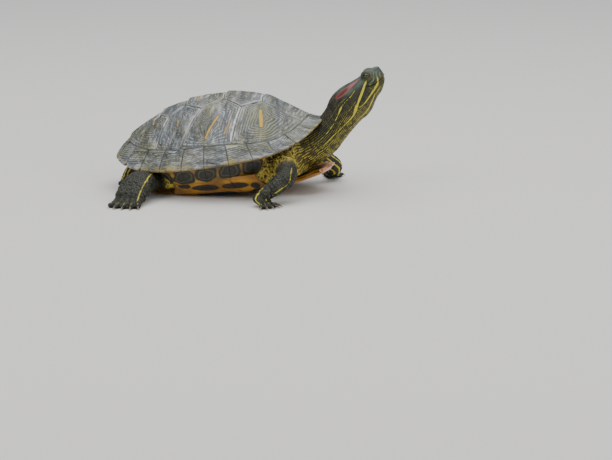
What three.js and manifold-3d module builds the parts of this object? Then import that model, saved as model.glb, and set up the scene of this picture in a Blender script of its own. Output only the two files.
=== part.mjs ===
// A life-size red-eared slider turtle, still, basking with its chest raised and its head held high.
// Millimetres, +Z up. The head points along +X and the turtle's left side is at +Y. The floor is z = 0.
// Every scute of the shell is its own solid; the flesh is parted into head, neck, trunk, tail and four legs.
import * as THREE from "three";
import { LoftGeometry } from "three/addons/geometries/LoftGeometry.js";
import { mergeVertices } from "three/addons/utils/BufferGeometryUtils.js";
import Module from "manifold-3d";

const wasm = await Module();
wasm.setup();

// ---- driving dimensions ----
const shellLength = 210; // straight carapace length
const shellWidth = 156; // across the marginals at mid-length
const domeTop = 92; // height of the carapace over the plastron
const rimSideHeight = 33.5; // height of the marginal edge over the bridge
const rimFrontRise = 22.5; // how much higher the edge is over the neck
const rimRearRise = 13.5; // and over the tail
const rearSwell = 0.04; // the plan is wider towards the back by this share
const wall = 4.5; // bone and scute together
const gap = 0.3; // between neighbouring pieces
const marginalInner = 0.862; // where the marginals start, as a share of the plan radius
const edgeThick = 2.4; // of the free edge
const bridgeLip = 12; // how far the bridge marginals turn down below the edge
const bridgeFront = 46;
const bridgeRear = -42;
const plastronFront = 106;
const plastronRear = -85;
const pitch = THREE.MathUtils.degToRad(9); // the chest is raised by this
const shellPivot = new THREE.Vector3(0, 0, 49); // a point inside the shell, in the shell's own frame
const pivotHeight = 50.2; // and how high it stands over the floor
const headPitch = THREE.MathUtils.degToRad(34); // of the mouth line
const headPlace = new THREE.Vector3(125, 0, 87.2); // the back of the head
const eyePlace = new THREE.Vector3(32.8, 7.6, 12.2); // the left eye, in the head's frame
const eyeRadius = 4.7;

const halfLength = shellLength / 2;
const halfWidth = shellWidth / 2;

// ---- materials ----
const finish = (color, roughness) => new THREE.MeshStandardMaterial({ color, roughness, metalness: 0 });
const carapaceHorn = finish(0x5d6358, 0.75);
const plastronHorn = finish(0xc98f2c, 0.6);
const neckSkin = finish(0x3c4420, 0.7);
const legSkin = finish(0x33382a, 0.8);
const bellySkin = finish(0x575a2c, 0.8);
const eyeGloss = finish(0x4f6b33, 0.15);

// ---- helpers ----
const { smoothstep } = THREE.MathUtils;

// A three.js geometry as a manifold-3d solid.
function solidOf(geometry) {
  const bare = geometry.index ? geometry.toNonIndexed() : geometry.clone();
  for (const name of Object.keys(bare.attributes)) {
    if (name !== "position") bare.deleteAttribute(name);
  }
  const merged = mergeVertices(bare, 1e-3);
  return new wasm.Manifold(
    new wasm.Mesh({
      numProp: 3,
      vertProperties: merged.attributes.position.array,
      triVerts: new Uint32Array(merged.index.array),
    }),
  );
}

// A manifold-3d solid as a named three.js mesh.
function meshOf(name, solid, material) {
  const { vertProperties, triVerts } = solid.getMesh();
  const geometry = new THREE.BufferGeometry();
  geometry.setAttribute("position", new THREE.BufferAttribute(vertProperties, 3));
  geometry.setIndex(new THREE.BufferAttribute(triVerts, 1));
  const mesh = new THREE.Mesh(geometry, material);
  mesh.name = name;
  return mesh;
}

// Moves each vertex of a three.js geometry to where place(x, y, z) says.
function bend(geometry, place) {
  const position = geometry.attributes.position;
  for (let i = 0; i < position.count; i += 1) {
    const p = place(position.getX(i), position.getY(i), position.getZ(i));
    position.setXYZ(i, p.x, p.y, p.z);
  }
  return geometry;
}

// A closed ring of points, counter-clockwise for someone who looks back along across x lift.
function ringOf({ centre, across, lift, halfAcross, above, below, sides, squareness }) {
  return Array.from({ length: sides }, (_, i) => {
    const angle = (2 * Math.PI * (i + 0.5)) / sides;
    const [c, s] = [Math.cos(angle), Math.sin(angle)];
    const a = Math.sign(c) * Math.abs(c) ** (2 / squareness) * halfAcross;
    const l = Math.sign(s) * Math.abs(s) ** (2 / squareness) * (s > 0 ? above : below);
    return centre.clone().addScaledVector(across, a).addScaledVector(lift, l);
  });
}

// A bent, tapering limb through a row of stations, each [x, y, z, half width, half height].
function limb(stations, { sides = 12, rings = 10, squareness = 2 } = {}) {
  const path = new THREE.CatmullRomCurve3(stations.map(([x, y, z]) => new THREE.Vector3(x, y, z)));
  const girth = new THREE.CatmullRomCurve3(stations.map((s) => new THREE.Vector3(s[3], s[4], 0)));
  const sections = Array.from({ length: rings + 1 }, (_, i) => {
    const tangent = path.getTangent(i / rings);
    const across = new THREE.Vector3(0, 0, 1).cross(tangent).normalize();
    const size = girth.getPoint(i / rings);
    return ringOf({
      centre: path.getPoint(i / rings),
      across,
      lift: tangent.clone().cross(across),
      halfAcross: size.x,
      above: size.y,
      below: size.y,
      sides,
      squareness,
    });
  });
  return solidOf(new LoftGeometry(sections, { capStart: true, capEnd: true }));
}

// Everything on the far side of a plane, as a large block.
function halfSpace(point, normal) {
  const size = 600;
  const block = new THREE.Mesh(new THREE.BoxGeometry(size, size, size));
  block.quaternion.setFromUnitVectors(new THREE.Vector3(0, 0, 1), normal.clone().normalize());
  block.position.copy(point).addScaledVector(normal.clone().normalize(), size / 2);
  block.updateMatrix();
  return solidOf(block.geometry.applyMatrix4(block.matrix));
}

// Parts a solid at a plane and leaves the gap between the two pieces.
function partAt(solid, point, normal) {
  const shift = normal.clone().setLength(gap / 2);
  return {
    beyond: solid.intersect(halfSpace(point.clone().add(shift), normal)),
    before: solid.intersect(halfSpace(point.clone().sub(shift), normal.clone().negate())),
  };
}

const union = (solids) => solids.reduce((whole, solid) => whole.add(solid));

// An upright prism over a plan outline, which is first drawn in by the inset.
function prism(outline, inset = gap / 2) {
  const points = THREE.ShapeUtils.isClockWise(outline) ? [...outline].reverse() : outline;
  const drawn = points.map((p, i) => {
    const a = new THREE.Vector2().subVectors(p, points.at(i - 1)).normalize();
    const b = new THREE.Vector2().subVectors(points[(i + 1) % points.length], p).normalize();
    const inward = new THREE.Vector2(-a.y - b.y, a.x + b.x).normalize();
    const stretch = Math.max(0.3, inward.dot(new THREE.Vector2(-a.y, a.x)));
    return p.clone().addScaledVector(inward, inset / stretch);
  });
  const geometry = new THREE.ExtrudeGeometry(new THREE.Shape(drawn), { depth: 200, bevelEnabled: false });
  return solidOf(geometry.translate(0, 0, -60));
}

const outlineOf = (pairs) => pairs.map(([x, y]) => new THREE.Vector2(x, y));
const mirrored = (outline) => outline.map((p) => new THREE.Vector2(p.x, -p.y));

// ---- the shell's place ----
const shell = new THREE.Group();
shell.rotation.y = -pitch;
shell.position.set(0, 0, pivotHeight).sub(shellPivot.clone().applyEuler(shell.rotation));
shell.updateMatrix();
const inPlace = (solid) => solid.transform(shell.matrix.elements);
const floor = halfSpace(new THREE.Vector3(), new THREE.Vector3(0, 0, -1));
const floorInShell = floor.transform(shell.matrix.clone().invert().elements);

// ---- carapace ----
// A point of the plan: angle 0 is the front, and share 1 is the edge.
const plan = (angle, share) =>
  new THREE.Vector2(
    halfLength * share * Math.cos(angle),
    halfWidth * share * Math.sin(angle) * (1 - rearSwell * Math.cos(angle)),
  );

// Height of the free edge: low over the bridge, raised over neck and tail.
function rimHeight(angle) {
  const c = Math.cos(angle);
  return rimSideHeight + (c > 0 ? rimFrontRise : rimRearRise) * c ** 4;
}

// Share of the dome's rise left at a plan share: steep at the sides, flared at the ends.
function domeShare(angle, share) {
  const c = Math.cos(angle);
  const roundness = 1.6 + (c > 0 ? 1.4 : 0.4) * c * c;
  const flare = 0.75 + (c > 0 ? 1.35 : 0.11) * c * c;
  return (1 - Math.min(1, share) ** roundness) ** flare;
}

// How much the angle belongs to the bridge, from 0 to 1.
function bridgeShare(angle) {
  const x = halfLength * Math.cos(angle);
  return smoothstep(x, bridgeRear - 16, bridgeRear) * (1 - smoothstep(x, bridgeFront, bridgeFront + 14));
}

const innerPlan = 1 - wall / halfWidth; // the inside of the wall, as a share of the plan
const outerHeight = (angle, share) =>
  rimHeight(angle) + (domeTop - rimHeight(angle)) * domeShare(angle, share);
const innerHeight = (angle, share) =>
  rimHeight(angle) + (domeTop - wall - rimHeight(angle)) * domeShare(angle, share);

// The whole carapace: a turned profile bent to the oval and the dome. Each profile point has
// a plan share and a level: 0 outside, 1 lower corner of the edge, 2 lip, 3 inside.
const outerShares = [0, 0.27, 0.5, 0.7, marginalInner, 0.93, 1];
const innerShares = [0.9, 0.55, 0];
const aroundShell = 32;
function carapaceWhole(grow) {
  const profile = [
    ...outerShares.map((share) => [share, 0]),
    [0.992, 1],
    [0.915, 2],
    ...innerShares.map((share) => [share, 3]),
  ].map(([share, level]) => new THREE.Vector2(share, level));
  const turned = new THREE.LatheGeometry(profile.reverse(), aroundShell);
  const wider = 1 + grow / halfWidth;
  const place = (x, level, z) => {
    const angle = Math.atan2(x, z);
    const share = Math.hypot(x, z);
    const at = (factor, height) => {
      const p = plan(angle, share * factor);
      return new THREE.Vector3(p.x, p.y, height);
    };
    const lip = edgeThick + (bridgeLip - edgeThick) * bridgeShare(angle);
    if (level < 0.5) return at(wider, outerHeight(angle, share) + grow);
    if (level < 1.5) return at(wider, rimHeight(angle) - edgeThick - grow);
    if (level < 2.5) return at(1, rimHeight(angle) - lip - 2.5 * grow);
    return at(innerPlan / wider, innerHeight(angle, share) - grow);
  };
  return solidOf(bend(turned, place));
}
const carapace = carapaceWhole(0);
const carapaceGrown = carapaceWhole(gap);

// Plan outline of an oval at a share of the radius.
const oval = (share) =>
  Array.from({ length: aroundShell }, (_, i) => plan((i / aroundShell) * 2 * Math.PI, share));
const disc = carapace.intersect(prism(oval(marginalInner)));
const ring = carapace.subtract(prism(oval(marginalInner), -gap / 2));

// Vertebral scutes: seams across the midline, and the side corners where the pleural seams start.
const seamX = [96, 49, 12, -27, -54, -96];
const seamHalf = [21, 15, 15, 15, 13, 30];
const cornerX = [72, 30, -9, -42, -72];
const cornerHalf = [19, 26, 27, 25, 25];
const notch = (i) => new THREE.Vector2(seamX[i], seamHalf[i]);
const corner = (i) => new THREE.Vector2(cornerX[i], cornerHalf[i]);
function vertebralOutline(i) {
  const left = [notch(i), corner(i), notch(i + 1)];
  return [...left, ...mirrored(left).reverse()];
}

// Pleural scutes of the left side: between the vertebral zigzag and a fan of three seams.
const pleuralFootX = [22, -28, -58]; // where the seams reach the marginals
const pleuralFootY = 64;
const beyondRim = 100;
function pleuralOutline(i) {
  const foot = (n) => {
    const start = corner(n + 1);
    return start.clone().add(new THREE.Vector2(pleuralFootX[n], pleuralFootY).sub(start).multiplyScalar(2));
  };
  const inner = i === 0 ? [notch(0), corner(0)] : [corner(i)];
  inner.push(notch(i + 1), corner(i + 1));
  if (i === 3) inner.push(notch(5));
  const outer = [
    i === 3 ? new THREE.Vector2(-beyondRim, beyondRim) : foot(i),
    i === 0 ? new THREE.Vector2(beyondRim, beyondRim) : foot(i - 1),
  ];
  return [...inner, ...outer];
}

// Marginal scutes of the left side: even lengths along the edge, after half a nuchal.
const nuchalHalf = 7;
const marginals = 12;
const marginalSeams = (() => {
  const steps = 720;
  const lengths = [0];
  for (let i = 1; i <= steps; i += 1) {
    const from = plan(((i - 1) / steps) * Math.PI, 1);
    lengths.push(lengths[i - 1] + from.distanceTo(plan((i / steps) * Math.PI, 1)));
  }
  const each = (lengths[steps] - nuchalHalf) / marginals;
  return Array.from({ length: marginals + 1 }, (_, i) => {
    const found = lengths.findIndex((length) => length >= nuchalHalf + i * each - 1e-6);
    return ((found < 0 ? steps : found) / steps) * Math.PI;
  });
})();
const nickDepth = 0.062; // how far each seam of the back edge is nicked
const insideRing = 0.72; // plan shares on both sides of the ring of marginals
const outsideRing = 1.04;
function marginalOutline(i) {
  const [from, to] = [marginalSeams[i], marginalSeams[i + 1]];
  const nick = nickDepth * smoothstep(i, 6, 10);
  const shoulder = 0.18 * (to - from);
  return [
    plan(from, insideRing),
    plan(from, outsideRing - nick),
    plan(from + shoulder, outsideRing - nick / 3),
    plan(to - shoulder, outsideRing - nick / 3),
    plan(to, outsideRing - nick),
    plan(to, insideRing),
  ];
}
const nuchalOutline = [
  plan(-marginalSeams[0], insideRing),
  plan(-marginalSeams[0], outsideRing),
  plan(marginalSeams[0], outsideRing),
  plan(marginalSeams[0], insideRing),
];

shell.add(meshOf("nuchal", ring.intersect(prism(nuchalOutline)), carapaceHorn));
for (let i = 0; i < 5; i += 1) {
  shell.add(meshOf(`vertebral_${i + 1}`, disc.intersect(prism(vertebralOutline(i))), carapaceHorn));
}
for (const [side, turn] of [["left", (outline) => outline], ["right", mirrored]]) {
  for (let i = 0; i < 4; i += 1) {
    const solid = disc.intersect(prism(turn(pleuralOutline(i))));
    shell.add(meshOf(`pleural_${side}_${i + 1}`, solid, carapaceHorn));
  }
  for (let i = 0; i < marginals; i += 1) {
    const solid = ring.intersect(prism(turn(marginalOutline(i))));
    shell.add(meshOf(`marginal_${side}_${i + 1}`, solid, carapaceHorn));
  }
}

// ---- plastron ----
const lobeHalf = 43;
const flatHalf = 42; // where the underside starts to climb to the bridge
const wingHalf = 70.6;
const wingRise = 18;

// Height of the plastron's underside: level in the middle, turned up in front and at the hips.
function plastronUnder(x, y) {
  const rear = Math.max(0, 30 - x) / 90;
  const front = Math.max(0, x - 62) / 46;
  const out = Math.max(0, Math.abs(y) - flatHalf) / (wingHalf - flatHalf);
  return -1 + 8.5 * rear ** 1.6 + 6.6 * front ** 1.3 + wingRise * out ** 1.7;
}

function plastronSlab(grow) {
  const middle = (plastronFront + plastronRear) / 2 - 2;
  const box = new THREE.BoxGeometry(220, 2 * wingHalf + 4, 1, 12, 12, 1).translate(middle, 0, 0);
  const place = (x, y, z) => {
    const under = plastronUnder(x, y);
    return new THREE.Vector3(x, y, z > 0 ? under + wall + grow : under - grow);
  };
  return solidOf(bend(box, place));
}

// Half the outline, on the left side, from the front notch round to the back notch.
const plastronHalf = outlineOf([
  [plastronFront - 2, 0],
  [plastronFront, 11],
  [98, 24],
  [82, 33],
  [64, 39],
  [bridgeFront + 5, lobeHalf],
  [bridgeFront, 56],
  [bridgeFront - 5, wingHalf],
  [bridgeRear + 5, wingHalf],
  [bridgeRear, 56],
  [bridgeRear - 5, lobeHalf],
  [-62, 42],
  [-76, 36],
  [plastronRear, 24],
  [plastronRear - 2, 12],
  [plastronRear + 6, 0],
]);
const plastronOutline = [...plastronHalf, ...mirrored(plastronHalf.slice(1, -1)).reverse()];
const plastron = plastronSlab(0)
  .intersect(prism(plastronOutline, 0))
  .subtract(carapaceGrown)
  .subtract(floorInShell);
const plastronGrown = plastronSlab(gap).intersect(prism(plastronOutline, -gap));

// Plastral scutes of the left side: the seam in front of each, from the midline to the edge.
const plastralNames = ["gular", "humeral", "pectoral", "abdominal", "femoral", "anal"];
const plastralSeams = outlineOf([
  [130, 0], [130, 60],
  [78, 0], [106, 34],
  [64, 0], [56, 60],
  [38, 0], [10, 90],
  [-14, 0], [-50, 52],
  [-38, 0], [-84, 50],
  [-110, 0], [-110, 50],
]);
function plastralOutline(i) {
  const seams = plastralSeams.slice(2 * i, 2 * i + 4);
  const points = [seams[0], seams[1], seams[3], seams[2]];
  if (i === 2) points.splice(2, 0, new THREE.Vector2(56, 90));
  if (i === 3) points.splice(2, 0, new THREE.Vector2(-50, 90));
  return points;
}
for (const [side, turn] of [["left", (outline) => outline], ["right", mirrored]]) {
  plastralNames.forEach((name, i) => {
    const solid = plastron.intersect(prism(turn(plastralOutline(i))));
    shell.add(meshOf(`${name}_${side}`, solid, plastronHorn));
  });
}

// ---- flesh ----
// The trunk fills the shell: a turned solid with the carapace's inside above and the plastron below.
const trunkClear = 0.8; // from the shell
function trunkCore(grow) {
  const profile = [...innerShares.map((s) => [s, 0]).reverse(), ...innerShares.map((s) => [s, 1])];
  const turned = new THREE.LatheGeometry(
    profile.map(([share, level]) => new THREE.Vector2(share, level)).reverse(),
    aroundShell,
  );
  const place = (x, level, z) => {
    const angle = Math.atan2(x, z);
    const share = Math.hypot(x, z);
    const p = plan(angle, share * innerPlan * (1 + (grow - trunkClear) / halfWidth));
    const above = innerHeight(angle, share) - trunkClear + grow;
    const below = plastronUnder(p.x, p.y) + wall + trunkClear - grow;
    return new THREE.Vector3(p.x, p.y, level < 0.5 ? above : Math.min(below, above - 2));
  };
  return inPlace(solidOf(bend(turned, place)));
}
const core = trunkCore(0);
const coreGrown = trunkCore(gap);
const shellGrown = inPlace(carapaceGrown.add(plastronGrown));
const trim = (solid) => solid.subtract(shellGrown).subtract(floor);

// Neck and head are one loft. Neck rows: [x, z, pitch in degrees, above, below, half width].
const neckRows = [
  [60, 36, 12, 17, 17, 23],
  [80, 40, 22, 19, 19, 25],
  [98.5, 51, 40, 18.5, 19, 21],
  [108, 61, 48, 15.5, 17.8, 18],
  [116, 71, 52, 16, 17.5, 16.4],
  [122, 79.5, 48, 18.2, 18.5, 15.6],
  [127, 87, 42, 17.4, 20.2, 15.4],
];
// Head rows, along the mouth line: [forward, above, below, half width].
const headRows = [
  [9, 16.2, 21.2, 15.6],
  [17, 15.6, 18.4, 15],
  [24, 15.6, 13.6, 13.6],
  [30, 16.5, 10.4, 12],
  [35, 16.4, 8.4, 10.2],
  [39.5, 15.8, 5, 8.2],
  [43, 15, 1.8, 6.2],
  [45.2, 13.8, -1.6, 4],
];
const widestLevel = 0.54; // of a throat section, as a share of its height
const head = new THREE.Group();
head.position.copy(headPlace);
head.rotation.y = -headPitch;
head.updateMatrix();
function throatRing(centre, turn, above, below, halfAcross) {
  const lift = new THREE.Vector3(-Math.sin(turn), 0, Math.cos(turn));
  const shift = widestLevel * (above + below) - below;
  return ringOf({
    centre: centre.clone().addScaledVector(lift, shift),
    across: new THREE.Vector3(0, 1, 0),
    lift,
    halfAcross,
    above: above - shift,
    below: below + shift,
    sides: 16,
    squareness: 2.2,
  });
}
const throat = [
  ...neckRows.map(([x, z, turn, above, below, halfAcross]) =>
    throatRing(new THREE.Vector3(x, 0, z), THREE.MathUtils.degToRad(turn), above, below, halfAcross),
  ),
  ...headRows.map(([forward, above, below, halfAcross]) =>
    throatRing(new THREE.Vector3(forward, 0, 0).applyMatrix4(head.matrix), headPitch, above, below, halfAcross),
  ),
];
const throatWhole = solidOf(new LoftGeometry(throat, { capStart: true, capEnd: true }));
const neckBase = partAt(throatWhole, new THREE.Vector3(89, 0, 44), new THREE.Vector3(0.85, 0, 0.53));
const nape = partAt(neckBase.beyond, new THREE.Vector3(124.5, 0, 83), new THREE.Vector3(0.71, 0, 0.71));
const eyeSphere = (side, radius) =>
  new THREE.SphereGeometry(radius, 10, 7)
    .translate(eyePlace.x, side * eyePlace.y, eyePlace.z)
    .applyMatrix4(head.matrix);
const sockets = [1, -1].map((side) => solidOf(eyeSphere(side, eyeRadius + gap)));
const headSolid = sockets.reduce((solid, socket) => solid.subtract(socket), nape.beyond);
const neckSolid = trim(nape.before).subtract(coreGrown);

// A foot: a flattened palm with five spread toes, each ending in a claw but for the clawless one,
// the outer toe of a hind foot.
function foot({ ankle, from, heading, length, half, thick, toes, spread, claw, clawless }) {
  const forward = new THREE.Vector3(Math.cos(heading), Math.sin(heading), 0);
  const side = new THREE.Vector3(-Math.sin(heading), Math.cos(heading), 0);
  const start = new THREE.Vector3(...from);
  const end = start.clone().addScaledVector(forward, length).setZ(thick * 0.45);
  const palm = limb(
    [
      [...start.toArray(), ...ankle],
      [...start.clone().lerp(end, 0.5).toArray(), half * 0.92, thick * 0.85],
      [...end.toArray(), half, thick * 0.5],
    ],
    { sides: 8, rings: 3, squareness: 2.3 },
  );
  const digits = toes.flatMap((toeLength, i) => {
    const share = i / (toes.length - 1) - 0.5;
    const turn = heading + spread * share;
    const out = new THREE.Vector3(Math.cos(turn), Math.sin(turn), 0);
    const base = end
      .clone()
      .addScaledVector(forward, -0.15 * length)
      .addScaledVector(side, 1.5 * half * share);
    const along = (distance, z, halfAcross, halfHigh) => {
      const p = base.clone().addScaledVector(out, distance);
      return [p.x, p.y, z, halfAcross, halfHigh];
    };
    const reach = 0.15 * length + toeLength;
    const toe = [
      along(0, thick * 0.5, 2.6, 2.8),
      along(0.6 * reach, 2.3, 2.5, 2.8),
      along(reach, 1.6, 1.7, 2),
    ];
    const nail = [along(reach - 1, 1.9, 1.4, 1.6), along(reach + claw, 0.7, 0.35, 0.4)];
    const digit = limb(toe, { sides: 5, rings: 2 });
    return i === clawless ? [digit] : [digit, limb(nail, { sides: 4, rings: 1 })];
  });
  return union([palm, ...digits]);
}

// A leg: shoulder or hip to wrist or ankle, then the foot. It is parted from the trunk at the cut.
function leg({ stations, cut, cutNormal, ...footSizes }) {
  const whole = limb(stations, { sides: 8, rings: 7 });
  const ankle = stations.at(-1).slice(3);
  const { beyond, before } = partAt(whole, new THREE.Vector3(...cut), new THREE.Vector3(...cutNormal));
  return { root: before, solid: trim(beyond.add(foot({ ankle, ...footSizes }))).subtract(coreGrown) };
}

const legs = {
  foreleg_right: leg({
    stations: [
      [60, -26, 38, 11, 11],
      [69, -46, 34.5, 11, 11],
      [75, -64, 26, 9.8, 9.6],
      [67, -78, 18, 8.8, 8],
      [55, -87, 10, 7.6, 6],
    ],
    cut: [69, -46, 34.5],
    cutNormal: [0.5, -0.86, 0],
    from: [52, -86, 8.5],
    heading: THREE.MathUtils.degToRad(-42),
    length: 13,
    half: 8,
    thick: 5,
    toes: [3, 4.5, 5, 4.5, 3],
    spread: 1.5,
    claw: 6,
  }),
  foreleg_left: leg({
    stations: [
      [60, 24, 36, 11, 11],
      [80, 38, 31, 10.6, 10],
      [100, 47, 19.5, 9.5, 8.8],
      [104.5, 53, 13.5, 8.4, 7.2],
      [103, 59, 8.6, 7.4, 5.6],
    ],
    cut: [80, 38, 31],
    cutNormal: [0.72, 0.69, 0],
    from: [103, 56.5, 8],
    heading: THREE.MathUtils.degToRad(97),
    length: 13,
    half: 8,
    thick: 5,
    toes: [3, 4.5, 5, 4.5, 3],
    spread: 1.1,
    claw: 6,
  }),
  hindleg_right: leg({
    stations: [
      [-50, -28, 22, 14, 11],
      [-62, -50, 15.5, 15, 10.6],
      [-67, -70, 15.5, 15.5, 11.5],
      [-69, -87, 12, 15.5, 9.5],
      [-71, -101, 7.5, 14.5, 6.5],
    ],
    cut: [-61, -48, 16],
    cutNormal: [-0.4, -0.92, 0],
    from: [-70.5, -96, 7],
    heading: THREE.MathUtils.degToRad(-96),
    length: 19,
    half: 16,
    thick: 5,
    toes: [4, 6, 6.5, 6, 3],
    spread: 0.7,
    claw: 5,
    clawless: 0,
  }),
  hindleg_left: leg({
    stations: [
      [-50, 28, 22, 14, 11],
      [-60, 50, 15.5, 14, 10.6],
      [-65, 67, 14.5, 13, 11],
      [-75, 79, 11.5, 11.5, 9],
      [-85, 87, 7.5, 10, 6.3],
    ],
    cut: [-59, 48, 16],
    cutNormal: [-0.3, 0.95, 0],
    from: [-81, 84, 7],
    heading: THREE.MathUtils.degToRad(146),
    length: 19,
    half: 14,
    thick: 5,
    toes: [3, 6, 6.5, 6, 4],
    spread: 0.7,
    claw: 5,
    clawless: 4,
  }),
};

// Tail: short and thin, down to just over the floor.
const tailStations = [
  [-70, 0, 27, 12, 9],
  [-84, -1, 21, 8, 7],
  [-92, -3, 13, 4.8, 4.8],
  [-96, -6, 6.5, 3.2, 3.2],
  [-100, -9, 1.8, 1.2, 1.2],
];
const tailWhole = limb(tailStations, { sides: 8, rings: 6 });
const tailParts = partAt(tailWhole, new THREE.Vector3(-86, -1, 19), new THREE.Vector3(-0.76, 0, -0.65));

const roots = [neckBase.before, tailParts.before, ...Object.values(legs).map((one) => one.root)];
const trunk = core.add(trim(union(roots)));

const turtle = new THREE.Group();
turtle.add(shell);
turtle.add(meshOf("trunk", trunk, bellySkin));
turtle.add(meshOf("neck", neckSolid, neckSkin));
turtle.add(meshOf("head", headSolid, neckSkin));
turtle.add(meshOf("tail", trim(tailParts.beyond).subtract(coreGrown), legSkin));
for (const [name, { solid }] of Object.entries(legs)) turtle.add(meshOf(name, solid, legSkin));
for (const [name, side] of [["eye_left", 1], ["eye_right", -1]]) {
  turtle.add(meshOf(name, solidOf(eyeSphere(side, eyeRadius)), eyeGloss));
}

// The origin is at the middle of the footprint, on the floor.
const middle = new THREE.Box3().setFromObject(turtle, true).getCenter(new THREE.Vector3());
turtle.position.set(-middle.x, -middle.y, 0);

export default turtle;
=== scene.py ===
# A life-size red-eared slider turtle, still, basking with its chest raised and its head held high.
# Blender's unit is the metre. The sizes below are in millimetres, and metre turns them into Blender's unit.
import itertools
import math

import bpy
import numpy as np
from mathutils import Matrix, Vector
from mathutils.bvhtree import BVHTree
from mathutils.kdtree import KDTree


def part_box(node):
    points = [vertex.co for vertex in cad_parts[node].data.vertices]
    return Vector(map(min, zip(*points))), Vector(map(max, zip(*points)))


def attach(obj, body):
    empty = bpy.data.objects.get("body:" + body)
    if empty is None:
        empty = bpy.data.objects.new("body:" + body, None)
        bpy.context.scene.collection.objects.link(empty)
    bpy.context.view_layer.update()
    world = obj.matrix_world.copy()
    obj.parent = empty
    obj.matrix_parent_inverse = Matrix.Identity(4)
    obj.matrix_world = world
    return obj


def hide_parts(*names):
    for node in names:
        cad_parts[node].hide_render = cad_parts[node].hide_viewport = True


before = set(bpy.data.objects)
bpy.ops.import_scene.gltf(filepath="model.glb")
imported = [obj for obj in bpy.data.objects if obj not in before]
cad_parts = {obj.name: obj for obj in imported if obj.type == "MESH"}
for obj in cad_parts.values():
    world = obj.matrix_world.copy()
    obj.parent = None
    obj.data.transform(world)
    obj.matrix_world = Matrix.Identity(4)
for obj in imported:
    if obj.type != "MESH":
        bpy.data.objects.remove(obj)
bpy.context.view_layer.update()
bpy.ops.object.select_all(action="DESELECT")
metre = 0.001
weldGap = 0.002 * metre


def tone(hexValue):
    # an sRGB hex value as the linear colour that a shader takes
    parts = [int(hexValue[i : i + 2], 16) / 255 for i in (1, 3, 5)]
    return [*(p / 12.92 if p <= 0.04045 else ((p + 0.055) / 1.055) ** 2.4 for p in parts), 1.0]


def fill(tree, node, inputs):
    # a socket is linked, a hex colour is made linear and anything else is set
    for name, value in inputs.items():
        if isinstance(value, bpy.types.NodeSocket):
            tree.links.new(value, node.inputs[name])
        else:
            node.inputs[name].default_value = tone(value) if isinstance(value, str) else value


def addNode(tree, kind, inputs, out=0, stops=(), **settings):
    # a shader node with its settings and links, passing on one output; a ramp's stops are (place, hex) pairs
    node = tree.nodes.new("ShaderNode" + kind)
    for name, value in settings.items():
        setattr(node, name, value)
    fill(tree, node, inputs)
    while stops and len(node.color_ramp.elements) < len(stops):
        node.color_ramp.elements.new(0.5)
    for k, (place, value) in enumerate(stops):
        node.color_ramp.elements[k].position = place
        node.color_ramp.elements[k].color = tone(value)
    return node.outputs[out]


def newMaterial(name, *fields):
    # a material, its tree, its shader, and the numbers that it reads at a piece's vertices
    material = bpy.data.materials.new(name)
    material.use_nodes = True
    tree = material.node_tree
    read = {field: addNode(tree, "Attribute", {}, "Fac", attribute_name=field) for field in fields}
    return material, tree, tree.nodes["Principled BSDF"], read


colours = {"out": 2, "data_type": "RGBA"}  # settings of a node that mixes colours


def layered(tree, base, layers):
    # lays colours over a base in order; a share is a socket, or a value with its two ends and its most
    for share, over in layers:
        if isinstance(share, tuple):
            value, low, high, most = share
            share = addNode(tree, "MapRange", {0: value, 1: low, 2: high, 4: most})
        base = addNode(tree, "Mix", {0: share, 6: base, 7: over}, **colours)
    return base


def unit(v):
    v = np.asarray(v, float)
    return v / np.linalg.norm(v, axis=-1, keepdims=True)


def smooth(low, high, x):
    t = np.clip((np.asarray(x, float) - low) / (high - low), 0, 1)
    return t * t * (3 - 2 * t)


def noise(points, size, seed=0):
    # smooth lumps from -1 to 1; size is the length of a lump, one number or one for each axis
    p = np.asarray(points, float) / size + 500 + 31.7 * seed
    cell = np.floor(p).astype(np.int64)
    t = p - cell
    t = t * t * (3 - 2 * t)
    total = np.zeros(len(p))
    for corner in itertools.product((0, 1), repeat=3):
        c = cell + corner
        h = (c[:, 0] * 73856093) ^ (c[:, 1] * 19349663) ^ (c[:, 2] * 83492791)
        h = (h ^ (h >> 13)) * 1274126177
        value = ((h >> 7) & 0xFFFF) / 32767.5 - 1
        total += value * np.prod(np.where(np.array(corner), t, 1 - t), axis=1)
    return total


def turn(degrees):
    # the turn about Y that lifts +X towards +Z
    c, s = math.cos(math.radians(degrees)), math.sin(math.radians(degrees))
    return np.array([[c, 0, -s], [0, 1, 0], [s, 0, c]])


def throughStations(stations, count):
    # a smooth row of count + 1 stations through the given ones
    rows = np.array(stations, float)
    p = np.vstack([2 * rows[0] - rows[1], rows, 2 * rows[-1] - rows[-2]])
    t = np.linspace(0, len(rows) - 1, count + 1)
    k = np.minimum(t.astype(int), len(rows) - 2)
    f = (t - k)[:, None]
    a, b, c, d = p[k], p[k + 1], p[k + 2], p[k + 3]
    return 0.5 * (2 * b + (c - a) * f + (2 * a - 5 * b + 4 * c - d) * f**2 + (3 * b - a - 3 * c + d) * f**3)


def meshPoints(obj):
    co = np.zeros(len(obj.data.vertices) * 3, np.float32)
    obj.data.vertices.foreach_get("co", co)
    return co.reshape(-1, 3).astype(float) / metre


def movePoints(obj, points):
    obj.data.vertices.foreach_set("co", (np.asarray(points) * metre).astype(np.float32).ravel())
    obj.data.update()


def meshNormals(obj):
    n = np.zeros(len(obj.data.vertices) * 3, np.float32)
    obj.data.vertex_normals.foreach_get("vector", n)
    return n.reshape(-1, 3).astype(float)


def setField(obj, name, values):
    # a number at each vertex, for the materials
    field = obj.data.attributes.get(name) or obj.data.attributes.new(name, "FLOAT", "POINT")
    field.data.foreach_set("value", np.asarray(values, np.float32))


def only(obj):
    bpy.ops.object.select_all(action="DESELECT")
    obj.select_set(True)
    bpy.context.view_layer.objects.active = obj


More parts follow.
